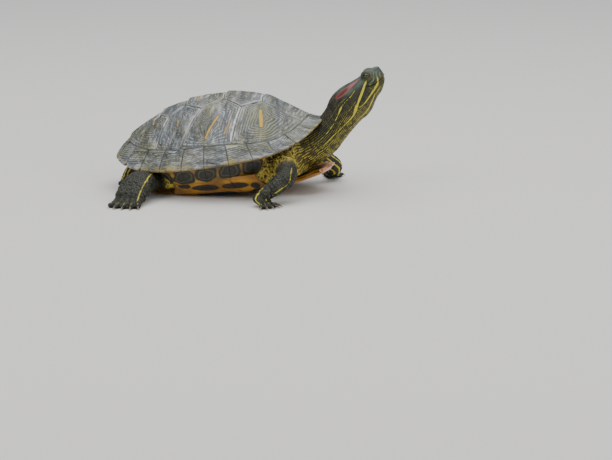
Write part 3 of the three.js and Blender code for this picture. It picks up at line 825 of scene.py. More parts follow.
def buildShell():
    horn, yellowHorn = carapaceMaterial(), plastronMaterial()
    names = sorted(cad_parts)
    for seed, name in enumerate(names):
        kind = name.split("_")[0]
        if kind in ("vertebral", "pleural"):
            piece, slot = discScute(name, seed), "carapace_horn"
        elif kind in ("marginal", "nuchal"):
            piece, slot = marginalScute(name, seed), "carapace_horn"
        elif name in plastralNames:
            piece, slot = plastralScute(name, seed), "plastron_horn"
        else:
            continue
        only(piece)
        bpy.ops.object.shade_smooth_by_angle(angle=math.radians(45))
        show(piece, slot, yellowHorn if slot == "plastron_horn" else horn, name)


buildShell()
print("shell made")


flesh = {
    "depth": 0.3,  # the skin lies this far inside the solids, which leaves room for the scales
    "voxel": 1.0,
    "keptInside": 0.06,  # share of the faces that stay where the shell hides them
    "keptOutside": 0.5,  # and on the body outside the head
    "widestLevel": 0.54,
    "neckRows": [  # forward, up, pitch in degrees, above, below, half width
        (60, 36, 12, 17, 17, 23),
        (80, 40, 22, 19, 19, 25),
        (98.5, 51, 40, 18.5, 19, 21),
        (108, 61, 48, 15.5, 17.8, 18),
        (116, 71, 52, 16, 17.5, 16.4),
        (122, 79.5, 48, 18.2, 18.5, 15.6),
        (127, 87, 42, 17.4, 20.2, 15.4),
    ],
    "headRows": [  # along the mouth line: forward, above, below, half width
        (9, 16.2, 21.2, 15.6),
        (17, 15.6, 18.4, 15),
        (24, 15.6, 13.6, 13.6),
        (30, 16.5, 10.4, 12),
        (35, 16.4, 8.4, 10.2),
        (39.5, 15.8, 5, 8.2),
        (43, 15, 1.8, 6.2),
        (45.2, 13.8, -1.6, 4),
    ],
}

limbs = {  # stations: forward, left, up, half width, half height
    "foreleg_right": {
        "stations": [(60, -26, 38, 11, 11), (69, -46, 34.5, 11, 11), (75, -64, 26, 9.8, 9.6),
                     (67, -78, 18, 8.8, 8), (55, -87, 10, 7.6, 6)],
        "from": (52, -86, 8.5), "heading": -42, "length": 13, "half": 8, "thick": 5,
        "toes": (3, 4.5, 5, 4.5, 3), "spread": 1.5, "claw": 6, "web": 0.35,
    },
    "foreleg_left": {
        "stations": [(60, 24, 36, 11, 11), (80, 38, 31, 10.6, 10), (100, 47, 19.5, 9.5, 8.8),
                     (104.5, 53, 13.5, 8.4, 7.2), (103, 59, 8.6, 7.4, 5.6)],
        "from": (103, 56.5, 8), "heading": 97, "length": 13, "half": 8, "thick": 5,
        "toes": (3, 4.5, 5, 4.5, 3), "spread": 1.1, "claw": 6, "web": 0.35,
    },
    "hindleg_right": {
        "stations": [(-50, -28, 22, 14, 11), (-62, -50, 15.5, 15, 10.6), (-67, -70, 15.5, 15.5, 11.5),
                     (-69, -87, 12, 15.5, 9.5), (-71, -101, 7.5, 14.5, 6.5)],
        "from": (-70.5, -96, 7), "heading": -96, "length": 19, "half": 16, "thick": 5,
        "toes": (4, 6, 6.5, 6, 3), "spread": 0.7, "claw": 5, "web": 0.75, "clawless": 0,
    },
    "hindleg_left": {
        "stations": [(-50, 28, 22, 14, 11), (-60, 50, 15.5, 14, 10.6), (-65, 67, 14.5, 13, 11),
                     (-75, 79, 11.5, 11.5, 9), (-85, 87, 7.5, 10, 6.3)],
        "from": (-81, 84, 7), "heading": 146, "length": 19, "half": 14, "thick": 5,
        "toes": (3, 6, 6.5, 6, 4), "spread": 0.7, "claw": 5, "web": 0.75, "clawless": 4,
    },
    "tail": {
        "stations": [(-70, 0, 27, 12, 9), (-84, -1, 21, 8, 7), (-92, -3, 13, 4.8, 4.8),
                     (-96, -6, 6.5, 3.2, 3.2), (-100, -9, 1.8, 1.2, 1.2)],
    },
}


def pathOf(stations, step):
    # centres, the directions along, across and up, and the two half sizes, all along a limb
    rows = np.array(stations, float)
    length = np.linalg.norm(np.diff(rows[:, :3], axis=0), axis=1).sum()
    fine = throughStations(rows, max(4, round(length / step)))
    centres = fine[:, :3] + turtlePlace
    along = unit(np.gradient(centres, axis=0))
    across = unit(np.cross([0, 0, 1], along))
    return {
        "centre": centres,
        "along": along,
        "across": across,
        "lift": np.cross(along, across),
        "size": fine[:, 3:],
    }


def roundSection(turns, squareness):
    c, s = np.cos(turns), np.sin(turns)
    return np.sign(c) * np.abs(c) ** (2 / squareness), np.sign(s) * np.abs(s) ** (2 / squareness)


def closedTube(name, rings, tips=(0.6, 0.6)):
    # rings[row, side]; each end is drawn in over three more rings, so the tube is rounded and shut
    middles = rings.mean(1)
    ends = []
    for k, nextTo, tip in ((0, 1, tips[0]), (-1, -2, tips[1])):
        out = unit(middles[k] - middles[nextTo])
        reach = tip * np.linalg.norm(rings[k] - middles[k], axis=1).min()
        angles = np.radians((30, 60, 90))
        ends.append(
            [middles[k] + (rings[k] - middles[k]) * math.cos(a) + out * reach * math.sin(a) for a in angles]
        )
    rows = np.array([*ends[0][::-1], *rings, *ends[1]])
    obj = sheetOf(name, np.concatenate([rows, rows[:, :1]], axis=1))
    outward(obj)
    return obj


def limbTube(name, path, sides=28, squareness=2.0, tips=(0.6, 0.6), depth=flesh["depth"]):
    turns = np.linspace(0, 2 * math.pi, sides, endpoint=False)
    a, b = roundSection(turns, squareness)
    size = np.maximum(0.3, path["size"] - depth)
    rings = path["centre"][:, None] + path["across"][:, None] * (a[None, :] * size[:, :1])[..., None]
    rings = rings + path["lift"][:, None] * (b[None, :] * size[:, 1:])[..., None]
    return closedTube(name, rings, tips)


def footStations(limb):
    # the palm, the toes and the claws as rows of stations
    heading = math.radians(limb["heading"])
    forward = np.array([math.cos(heading), math.sin(heading), 0])
    side = np.array([-math.sin(heading), math.cos(heading), 0])
    start, thick, half, length = np.array(limb["from"], float), limb["thick"], limb["half"], limb["length"]
    end = start + forward * length
    end[2] = 0.45 * thick
    palm = [
        (*start, *limb["stations"][-1][3:]),
        (*(start + end) / 2, 0.92 * half, 0.85 * thick),
        (*end, half, 0.5 * thick),
    ]
    toes, claws = [], []
    for i, toeLength in enumerate(limb["toes"]):
        share = i / (len(limb["toes"]) - 1) - 0.5
        angle = heading + limb["spread"] * share
        out = np.array([math.cos(angle), math.sin(angle), 0])
        base = (end - 0.15 * length * forward + 1.5 * half * share * side) * [1, 1, 0]
        reach, claw = 0.15 * length + toeLength, limb["claw"]
        toe = [
            (0, 2.5, 2.6, 2.8),
            (0.35 * reach, 2.6, 2.3, 2.5),
            (0.65 * reach, 2.5, 2.5, 2.6),
            (reach, 1.8, 1.8, 2),
        ]
        nail = [(reach - 1.2, 2.3, 1.2, 1.3), (reach + 0.35 * claw, 2.3, 0.95, 1.05)]
        nail += [(reach + 0.75 * claw, 1.3, 0.55, 0.6), (reach + claw, 0.45, 0.2, 0.2)]
        for rows, found in ((toe, toes), (nail, claws)):
            if found is claws and i == limb.get("clawless"):
                continue
            found.append([(*(base + out * far)[:2], up, wide, high) for far, up, wide, high in rows])
    return palm, toes, claws


def webStations(toe, nextToe, web):
    # the fold of skin between two toes
    p, q = np.array(toe), np.array(nextToe)
    rows = (p + q) / 2
    rows[:, :3] = rows[0, :3] + (rows[:, :3] - rows[0, :3]) * web
    rows[:, 3] = np.linalg.norm((p - q)[:, :2], axis=1) / 2
    rows[:, 2] = (2.2, 2.0, 1.8, 1.5)
    rows[:, 4] = (2.0, 1.5, 1.2, 0.9)
    return rows


def throatRings():
    # neck and head as one row of rings
    rows = list(flesh["neckRows"])
    for forward, above, below, half in flesh["headRows"]:
        place = headTurn @ np.array([forward, 0, 0]) + pose["headPlace"]
        rows.append((place[0], place[2], pose["headPitch"], above, below, half))
    turns = np.linspace(0, 2 * math.pi, 64, endpoint=False)
    a, b = roundSection(turns, 2.2)
    rings = []
    for x, z, p, above, below, half in throughStations(rows, 120):
        above, below, half = above - flesh["depth"], below - flesh["depth"], half - flesh["depth"]
        lift = np.array([-math.sin(math.radians(p)), 0, math.cos(math.radians(p))])
        level = flesh["widestLevel"] * (above + below) - below
        centre = np.array([x, 0, z]) + turtlePlace + lift * level
        tall = np.where(b > 0, above - level, below + level) * b
        rings.append(centre + np.outer(tall, lift) + np.outer(a * half, [0, 1, 0]))
    return np.array(rings)


def trunkRings():
    # the body wall inside the shell; between the two pockets it is drawn in to a bar, which nobody sees
    angles = np.linspace(0, 2 * math.pi, 72, endpoint=False)
    inner = 1 - (shell["wall"] + 1.4) / halfWidth
    profile = [(s, 1) for s in (0.05, 0.3, 0.5, 0.68, 0.8, 0.88)] + [(0.9, 0.75), (0.905, 0.5), (0.9, 0.25)]
    profile += [(s, 0) for s in (0.88, 0.8, 0.68, 0.5, 0.3, 0.05)]
    rings = []
    for share, level in profile:
        x, y = planOf(angles, share * inner)
        above = domeHeight(angles, 0 * angles + share, shell["top"] - shell["wall"]) - 1.4
        below = np.minimum(plastronUnder(x, y) + shell["wall"] + 1.2, above - 3)
        z = below + (above - below) * level
        hidden = smooth(-40, -22, x) * (1 - smooth(20, 36, x))
        rings.append(fromShell(np.column_stack([x, y * (1 - 0.8 * hidden), z + (38 - z) * 0.7 * hidden])))
    return np.array(rings)


def thinOut(obj, mask, keep):
    # leaves only a share of the faces at the points of the mask
    group = obj.vertex_groups.new(name="thinned")
    group.add(np.flatnonzero(mask).tolist(), 1.0, "REPLACE")
    ratio = 1 - (1 - keep) * mask.mean()
    applyModifier(obj, "DECIMATE", decimate_type="COLLAPSE", vertex_group="thinned", ratio=ratio)
    obj.vertex_groups.clear()


def insideShell(points):
    # the part of the flesh that the shell hides from all sides
    p = toShell(points)
    _, share = planInverse(p[:, 0], p[:, 1])
    return share < np.where((p[:, 0] > 0) & (np.abs(p[:, 1]) < 40), 0.64, 0.76)


def buildFlesh():
    parts = [
        closedTube("throat", throatRings(), (0.3, 0.05)),
        closedTube("trunkWall", trunkRings(), (0.01, 0.01)),
    ]
    for name, limb in limbs.items():
        parts.append(limbTube(name + "Tube", pathOf(limb["stations"], 2.0)))
        if "toes" not in limb:
            continue
        palm, toes, _ = footStations(limb)
        parts.append(limbTube(name + "Palm", pathOf(palm, 2.0), squareness=2.3))
        parts += [limbTube(name + "Toe", pathOf(toe, 1.5), sides=16, tips=(0.6, 0.8)) for toe in toes]
        webs = [webStations(toe, nextToe, limb["web"]) for toe, nextToe in zip(toes, toes[1:])]
        parts += [limbTube(name + "Web", pathOf(web, 1.5), sides=16, squareness=3) for web in webs]
    skin = joined(parts, "skin")
    applyModifier(skin, "REMESH", mode="VOXEL", voxel_size=flesh["voxel"] * metre, use_smooth_shade=True)
    applyModifier(skin, "SMOOTH", factor=0.5, iterations=4)
    thinOut(skin, insideShell(meshPoints(skin)), flesh["keptInside"])
    thinOut(skin, toHead(meshPoints(skin))[:, 0] < 3, flesh["keptOutside"])
    return skin


def refine(obj, chosen, repeat=2):
    # cuts each chosen face in four and evens the new points
    mask = chosen(toHead(meshPoints(obj)))
    corners = np.zeros(len(obj.data.loops), np.int32)
    obj.data.loops.foreach_get("vertex_index", corners)
    starts = np.zeros(len(obj.data.polygons), np.int32)
    obj.data.polygons.foreach_get("loop_start", starts)
    whole = np.logical_and.reduceat(mask[corners], starts)
    only(obj)
    bpy.ops.object.mode_set(mode="EDIT")
    bpy.ops.mesh.select_mode(type="FACE")
    bpy.ops.mesh.select_all(action="DESELECT")
    bpy.ops.object.mode_set(mode="OBJECT")
    obj.data.polygons.foreach_set("select", whole)
    bpy.ops.object.mode_set(mode="EDIT")
    bpy.ops.mesh.subdivide(number_cuts=1)
    bpy.ops.mesh.vertices_smooth(factor=0.5, repeat=repeat)
    bpy.ops.object.mode_set(mode="OBJECT")


head = {
    "mouthLine": [(27.4, 4.4), (30.8, 2.2), (34.7, 1.4), (39.5, 1.8), (46.5, 2.9)],  # forward, up
    "mouthGroove": 0.85,
    "jawRecess": 0.7,
    "nostril": (44.6, 2.3, 11.6),
    "nostrilWide": 0.95,
    "eyeLook": (-0.02, 0.98, 0.17),  # the way the left eye looks
    "lidRun": (0.85, 0, -0.53),  # from the back corner of the lids to the front one
    "lidReach": 5.35,  # from the middle of the eye to the outside of the lids
    "lidStretch": 0.78,  # the lids are longer than they are high by this share
    "lidBlend": 4.2,  # how far the lids' run into the head spreads
    "openHalf": (3.2, 1.65),  # half length and half height of the opening
    "ear": (15.5, 3.5, 4.6),  # middle of the eardrum, and its radius
}


def eyeFrame(side):
    # the middle of an eye and its run, rise and look directions, in the head's frame
    middle = np.array(pose["eyePlace"]) * [1, side, 1]
    look = unit(np.array(head["eyeLook"]) * [1, side, 1])
    run = np.array(head["lidRun"])
    run = unit(run - look * (run @ look))
    rise = np.cross(run, look)
    return middle, run, rise * np.sign(rise[2]), look


def openingOf(x, y):
    # below 1 inside the opening between the lids; x and y in mm on the lids
    half = head["openHalf"]
    arch = 0.25 * (1 - (x / half[0]) ** 2)
    return np.hypot(x / half[0], (y - arch) / half[1])


def sculptHead(skin):
    p = toHead(meshPoints(skin))
    normals = meshNormals(skin) @ headTurn
    u, v, w = p.T
    # upper and lower jaw: a groove, a thin lip over it, and the lower jaw set back
    mouth = np.interp(u, *zip(*head["mouthLine"])) + 0.9 * np.exp(-(v**2)) * smooth(42, 45, u)
    above = w - mouth
    front = smooth(26.8, 28.8, u)
    push = -head["mouthGroove"] * np.exp(-((above / 0.42) ** 2)) * front
    push -= head["jawRecess"] * front * np.where(above < 0, np.exp(above / 2.2), 0) * smooth(-9, -2, above)
    push += 0.28 * front * np.exp(-(((above - 0.9) / 0.6) ** 2))
    # the eardrum, the cheek and the fold behind the mouth
    ear = np.hypot(u - head["ear"][0], w - head["ear"][1]) / head["ear"][2]
    push -= 0.35 * (1 - smooth(0.7, 1.0, ear)) + 0.18 * np.exp(-(((ear - 1.1) / 0.12) ** 2))
    push += 0.5 * np.exp(-(((u - 19) / 6) ** 2) - ((w + 3) / 5) ** 2)
    push -= 0.4 * np.exp(-((segmentDistance(p[:, [0, 2]], (27.2, 4.2), (24.0, -1.5)) / 0.6) ** 2))
    # a ridge from the eye to the nostril, the brow, and worn plates on the crown
    push += 0.3 * np.exp(-((segmentDistance(p[:, [0, 2]], (36, 15.6), (43, 13.6)) / 1.1) ** 2))
    push += 0.10 * noise(p, (5, 2.2, 2.2), 3) * smooth(8, 16, u)
    p = p + normals * (push * smooth(4, 8, u))[:, None]
    for side in (1, -1):
        # the nostril, with a low rim
        off = np.linalg.norm((p - np.array(head["nostril"]) * [1, side, 1]) * [0.35, 1, 1], axis=1)
        off = off / head["nostrilWide"] + 9 * (u < 38)
        p[:, 0] -= 1.5 * np.exp(-(off**3))
        p += normals * (0.16 * np.exp(-(((off - 1.5) / 0.35) ** 2)))[:, None]
        # the lids stand over the eyeball; inside their opening the skin dives under the eyeball's face
        middle, run, rise, look = eyeFrame(side)
        far = np.linalg.norm(p - middle, axis=1)
        way = (p - middle) / far[:, None]
        x, y, z = way @ run, way @ rise, way @ look
        dome = head["lidReach"] / np.sqrt((head["lidStretch"] * x) ** 2 + y**2 + z**2)
        x, y = x * head["lidReach"], y * head["lidReach"]
        opening = openingOf(x, y)
        facing = smooth(-0.1, 0.3, z)
        dome += 0.26 * np.exp(-(((opening - 1.17) / 0.15) ** 2)) * facing
        for level, depth in ((1.5, 0.16), (1.95, 0.13), (2.45, 0.16)):
            dome -= depth * np.exp(-(((opening - level - 0.1 * noise(p, 2.5, 14)) / 0.11) ** 2)) * facing
        near = np.maximum(0, 1 - np.abs(far - dome) / head["lidBlend"])
        union = np.maximum(far, dome) + near**2 * head["lidBlend"] / 4
        union -= 0.3 * np.exp(-(((far - dome - 0.5) / 0.3) ** 2)) * (y < 1.0) * facing
        reach = pose["eyeRadius"] - 0.9 + (union - pose["eyeRadius"] + 0.9) * smooth(0.9, 1.05, opening)
        reach = np.where(z > 0, reach, union)
        reach = far + (reach - far) * (far < 12)
        p = middle + way * reach[:, None]
    movePoints(skin, fromHead(p))


def neckPath():
    rings = throatRings()
    centres = rings.mean(1)
    along = unit(np.gradient(centres, axis=0))
    across = np.tile([0.0, 1.0, 0.0], (len(centres), 1))
    half = np.ptp(rings[:, :, 1], axis=1) / 2
    return {"centre": centres, "along": along, "across": across, "lift": np.cross(along, across),
            "size": np.stack([half, half], -1)}


routes = {"neck": neckPath(), **{name: pathOf(limb["stations"], 1.5) for name, limb in limbs.items()}}


def nearestOf(points, targets):
    # the index of the nearest target of each point, and the distance to it
    index, far = np.zeros(len(points), int), np.zeros(len(points))
    for k in range(0, len(points), 4000):
        part = points[k : k + 4000]
        square = (part**2).sum(1)[:, None] + (targets**2).sum(1) - 2 * part @ targets.T
        index[k : k + 4000] = square.argmin(1)
        far[k : k + 4000] = np.sqrt(np.maximum(0, square.min(1)))
    return index, far


def placesOf(points):
    # where each point lies: on which limb, how far along it in mm, at what turn around it, and its shares of
    # neck, leg and body wall
    best = np.full(len(points), 9.0)
    along, angle, share = (np.zeros(len(points)) for _ in range(3))
    owner = np.zeros(len(points), int)
    way = np.zeros((len(points), 3))
    for k, route in enumerate(routes.values()):
        i, far = nearestOf(points, route["centre"])
        ratio = far / route["size"][i].mean(1)
        off = points - route["centre"][i]
        run = np.concatenate([[0], np.cumsum(np.linalg.norm(np.diff(route["centre"], axis=0), axis=1))])
        mine = ratio < best
        along[mine] = (run[i] + (off * route["along"][i]).sum(1))[mine]
        angle[mine] = np.arctan2((off * route["across"][i]).sum(1), (off * route["lift"][i]).sum(1))[mine]
        share[mine] = (i / (len(run) - 1))[mine]
        way[mine] = route["along"][i][mine]
        owner[mine] = k
        best[mine] = ratio[mine]
    wall = smooth(1.15, 1.5, best)
    hip = np.where((owner == 1) | (owner == 2), 1 - smooth(0.30, 0.46, share), 1 - smooth(0.1, 0.25, share))
    wall = np.where(owner > 0, np.maximum(wall * (share < 0.6), hip), wall * (share < 0.4))
    return {"along": along, "angle": angle, "share": share, "way": way, "owner": owner,
            "neck": (owner == 0) * (1 - wall), "leg": (owner > 0) * (1 - wall), "wall": wall}


def foldSkin(skin):
    # loose skin: long folds and creases on the neck, rings on wrists and ankles, and lumps in the pockets
    points = meshPoints(skin)
    places = placesOf(points)
    forward = toHead(points)[:, 0]
    neck = places["neck"] * (1 - smooth(-2, 9, forward))
    wide = places["angle"] * 17
    lines = np.column_stack([places["along"] / 7, wide / 1.4, 0 * wide])
    push = neck * (0.34 * noise(lines, 1.6, 1) + 0.16 * noise(lines, 0.8, 2))
    creases = np.sin(places["along"] / 4.6 * 2 * math.pi + 2.2 * noise(points, 9, 4))
    push += neck * 0.22 * creases * (1 - smooth(-45, -20, forward))
    rings = np.sin(places["along"] / 3.7 * 2 * math.pi + 2.2 * noise(points, 7, 5))
    push += places["leg"] * (0.28 * rings * smooth(0.35, 0.8, places["share"]) + 0.45 * noise(points, 5, 6))
    push += places["wall"] * (0.9 * noise(points * [1, 1, 0.35], 4.5, 7) + 0.35 * noise(points, 2, 8))
    # furrows between the toes
    flat = points[:, :2] - turtlePlace[:2]
    for limb in limbs.values():
        if "toes" not in limb:
            continue
        heading = math.radians(limb["heading"])
        back = np.array([math.cos(heading), math.sin(heading)]) * 0.55 * limb["length"]
        start, toes = np.array(limb["from"][:2]), footStations(limb)[1]
        for toe, nextToe in zip(toes, toes[1:]):
            web = webStations(toe, nextToe, limb["web"])[:, :2]
            root = web[0] - back
            root = start + 0.75 * (root - start)
            gap = segmentDistance(flat, root, web[-1])
            near = (points[:, 2] < 14) & (points[:, 2] > 0.8)
            away = smooth(0, 6, np.linalg.norm(flat - root, axis=1))
            push -= 1.1 * np.exp(-((gap / 1.0) ** 2)) * near * away
    points = points + meshNormals(skin) * push[:, None]
    points[:, 2] = np.maximum(points[:, 2], 0.0)
    movePoints(skin, points)


# markings, shared by the skin and the scales; on the head as seen from its side: forward, up, half width
headStripes = {
    "yellow": [
        [
            (30.2, 9.0, 0.4), (27, 6.7, 1.0), (17.8, -0.4, 1.15), (11, -5.2, 0.9), (8.5, -7.1, 1.7),
            (6, -9, 1.5), (-0.5, -13.0, 0.75), (-11, -15.6, 0.5), (-24.4, -18, 0.5), (-36, -20.5, 0.45),
            (-54, -23.5, 0.35),
        ],
        [
            (40.6, 6.5, 0.3), (39.2, 3.6, 0.65), (36.8, 0.3, 0.95), (31, -2.7, 0.95), (24.6, -5.5, 0.8),
            (18.5, -7.9, 0.55), (13.6, -9.1, 0.45), (9.2, -9.0, 0.5),
        ],
        [
            (30, -5.9, 0.3), (26, -8.9, 0.7), (20.5, -12.6, 0.85), (13.5, -16.2, 0.7), (4, -18.2, 0.5),
            (-6.2, -20.5, 0.4), (-20, -23, 0.3),
        ],
        [
            (17.0, 7.8, 0.2), (9.8, 4.6, 0.3), (3.6, 3.3, 0.3), (-2.2, 1.6, 0.3), (-5.5, -0.2, 0.8),
            (-7.5, -1.4, 0.8), (-11.5, -4.2, 0.35), (-14.5, -6.0, 0.6), (-18, -8.0, 0.4),
            (-22, -10.0, 0.55), (-30.6, -13.0, 0.4), (-42, -15.0, 0.35), (-56, -15.5, 0.25),
        ],
        [
            (12, -1.5, 0.15), (4, -4.8, 0.25), (-6, -9.0, 0.2), (-15, -12.6, 0.3), (-27, -15.6, 0.2),
            (-42, -18.5, 0.2),
        ],
        [
            (6, 6.0, 0.2), (-5, 3.6, 0.2), (-16, -1.0, 0.3), (-27, -5.5, 0.25), (-38, -9, 0.2),
            (-50, -10, 0.2),
        ],
        [(30.9, -2.2, 0.2), (29.6, -0.2, 0.25), (28.2, 2.6, 0.2)],
        [(24.5, -1.6, 0.15), (22.6, -3.0, 0.25), (21.0, -2.2, 0.15)],
        [(38.6, -3.2, 0.25), (33, -5.5, 0.35), (28.5, -7.6, 0.3)],
        [(34, 4.6, 0.15), (30.5, 3.4, 0.25), (27.5, 4.6, 0.2), (26.2, 3.2, 0.15)],
    ],
    "red": [
        [
            (-5.5, 10.2, 1.8), (-1.5, 10.8, 2.6), (4, 11.4, 3.2), (9, 12.0, 2.9), (14, 12.6, 2.3),
            (19, 13.2, 1.8), (24, 13.6, 1.1),
        ]
    ],
    "pale": [
        [(44.4, 10.0, 0.2), (43.8, 7.8, 0.28), (42.8, 5.6, 0.28), (42.2, 3.8, 0.2)],
        [(42.2, 12.0, 0.2), (41.0, 9.4, 0.3), (39.9, 6.6, 0.3), (38.6, 4.2, 0.25)],
        [(39.8, 13.2, 0.2), (39.0, 10.6, 0.28), (37.6, 7.6, 0.3), (35.6, 5.2, 0.25), (33.2, 4.2, 0.2)],
        [(36.0, 6.8, 0.15), (33.6, 5.4, 0.25), (31.0, 4.9, 0.25), (28.8, 5.2, 0.2)],
    ],
}

# stripes along the legs and the tail: turn around the limb at the start and the end, in degrees (0 in front,
# 90 on top), share of its length at the start and the end, and half width
limbStripes = {
    "foreleg_left": [
        (130, 250, 0.2, 1, 0.9), (90, 215, 0.2, 1, 0.8), (165, 290, 0.2, 0.95, 0.9),
        (50, 180, 0.25, 1, 0.7), (15, 145, 0.3, 1, 0.7), (200, 330, 0.2, 0.9, 0.7),
        (-20, 110, 0.3, 1, 0.65), (235, 365, 0.2, 0.9, 0.7),
    ],
    "foreleg_right": [(62, 40, 0.1, 0.4, 0.45), (200, 215, 0.35, 0.8, 0.45)],
    "hindleg_right": [(178, 184, 0.35, 1, 0.5)],
    "hindleg_left": [(188, 182, 0.3, 1, 0.6), (0, 4, 0.35, 1, 0.5)],
    "tail": [
        (60, 70, 0, 0.9, 0.6), (120, 110, 0, 0.9, 0.6), (20, 25, 0, 0.7, 0.5), (160, 155, 0, 0.7, 0.5)
    ],
}

# edge stripes of the right legs, in the turtle's own place: (forward, left, up, half width)
edgeStripes = [
    [(83, -66, 38, 0.4), (82.4, -74, 31.3, 0.7), (81.1, -78.1, 22.1, 0.75), (74, -84.1, 17.1, 0.8),
     (65, -89.7, 11, 0.75), (58.8, -94.8, 6.8, 0.6)],
    [(60, -80, 25, 0.2), (53.9, -88.7, 15.4, 0.7), (51.3, -91.4, 11.9, 0.8), (50.2, -93.7, 7.3, 0.75),
     (55, -102.5, 2.3, 0.6)],
    [(-55, -60, 24, 0.5), (-57.5, -73.1, 22.7, 0.75), (-59.5, -92.8, 16.7, 0.7), (-60.5, -103.1, 11.5, 0.65),
     (-61.5, -112, 5, 0.5)],
]


def spacedLine(line, step=0.5):
    # even steps along a curve through the line's points, its width falling off at both ends
    line = throughStations(line, 12 * (len(line) - 1))
    run = np.concatenate([[0], np.cumsum(np.linalg.norm(np.diff(line[:, :-1], axis=0), axis=1))])
    at = np.linspace(0, run[-1], max(2, round(run[-1] / step)) + 1)
    spaced = np.column_stack([np.interp(at, run, column) for column in line.T])
    spaced[:, -1] *= 0.3 + 0.7 * smooth(0, 2.4, np.minimum(at, run[-1] - at))
    return spaced


def findStripes(tree):
    # each marking as points of the skin, with a half width and the number of its line
    rows = {"yellow": [], "red": [], "pale": []}
    number = itertools.count()
    for kind, lines in headStripes.items():
        for line in lines:
            for side in (1, -1):
                k = next(number)
                for forward, up, half in spacedLine(line):
                    start = Vector(fromHead([forward, 60 * side, up]) * metre)
                    hit = tree.ray_cast(start, Vector((0, -side, 0)))[0]
                    if hit is not None:
                        rows[kind].append((*np.array(hit) / metre, half, k))
    for name, stripes in limbStripes.items():
        route = routes[name]
        last = len(route["centre"]) - 1
        for first, final, fromShare, toShare, half in stripes:
            k = next(number)
            for t in np.linspace(0, 1, 120):
                i = (fromShare + (toShare - fromShare) * t) * last
                centre, across, lift = (
                    np.array([np.interp(i, range(last + 1), column) for column in route[key].T])
                    for key in ("centre", "across", "lift")
                )
                angle = math.radians(first + (final - first) * t)
                way = across * math.cos(angle) + lift * math.sin(angle)
                hit = tree.ray_cast(Vector(centre * metre), Vector(way))[0]
                if hit is None:
                    continue
                hit = np.array(hit) / metre
                if np.linalg.norm(hit - centre) < 1.6 * route["size"].max():
                    rows["yellow"].append((*hit, half * (1 - 0.6 * smooth(0.85, 1, t)), k))
    lines = edgeStripes + [
        [(x, y, z + high, 0.35) for x, y, z, _, high in toe]
        for limb in limbs.values() if "toes" in limb for toe in footStations(limb)[1]
    ]
    for line in lines:
        k = next(number)
        for x, y, z, half in spacedLine(line):
            hit = tree.find_nearest(Vector((np.array([x, y, z]) + turtlePlace) * metre))[0]
            rows["yellow"].append((*np.array(hit) / metre, half, k))
    return {kind: np.array(found) for kind, found in rows.items()}


def gapTo(points, rows):
    # the distance to the nearest marking's edge in mm, less than 0 inside it
    nearest, _ = nearestOf(points, rows[:, :3])
    gap = np.full(len(points), 9.0)
    for step in (1, -1):
        other = np.clip(nearest + step, 0, len(rows) - 1)
        other = np.where(rows[other, 4] == rows[nearest, 4], other, nearest)
        start, run = rows[nearest, :3], rows[other, :3] - rows[nearest, :3]
        t = np.clip(((points - start) * run).sum(1) / np.maximum(1e-9, (run**2).sum(1)), 0, 1)
        half = rows[nearest, 3] + (rows[other, 3] - rows[nearest, 3]) * t
        gap = np.minimum(gap, np.linalg.norm(points - start - run * t[:, None], axis=1) - half)
    return gap


def setMarkings(obj, stripes, rise, tint):
    points = meshPoints(obj)
    places = placesOf(points)
    wander = 0.14 * noise(points, 2.2, 11)
    for kind, rows in stripes.items():
        near = np.flatnonzero(
            (np.abs(points - rows[:, :3].mean(0)) < np.ptp(rows[:, :3], axis=0) / 2 + 40).all(1)
        )
        gap = np.full(len(points), 9.0)
        gap[near] = gapTo(points[near], rows) + wander[near]
        setField(obj, kind, gap)
    for key in ("along", "leg", "wall"):
        setField(obj, key, places[key])
    setField(obj, "turnCos", np.cos(places["angle"]))
    setField(obj, "turnSin", np.sin(places["angle"]))
    # painted shade: the pockets get darker high up under the shell; painted light: they get lighter out in
    # front of it
    inShell = toShell(points)
    high = smooth(12, 26, inShell[:, 2] - plastronUnder(inShell[:, 0], inShell[:, 1]))
    setField(obj, "shade", high * (1 - smooth(62, 82, inShell[:, 0])) - smooth(70, 84, inShell[:, 0]) * 0.4)
    inHead = toHead(points)
    setField(obj, "headForward", inHead[:, 0])
    setField(obj, "headUp", inHead[:, 2])
    middle, run, up, look = eyeFrame(1)
    off = inHead * np.where(inHead[:, 1:2] < 0, [1, -1, 1], 1) - middle
    setField(obj, "lid", np.hypot(np.hypot(off @ run / 7.0, off @ up / 5.2), np.maximum(0, -off @ look) / 3))
    opening = np.where(off @ look > 0, openingOf(off @ run, off @ up), 9)
    setField(obj, "opening", opening)
    setField(obj, "rise", rise)
    setField(obj, "tint", tint)


neckLines = 62  # fine lines around the neck


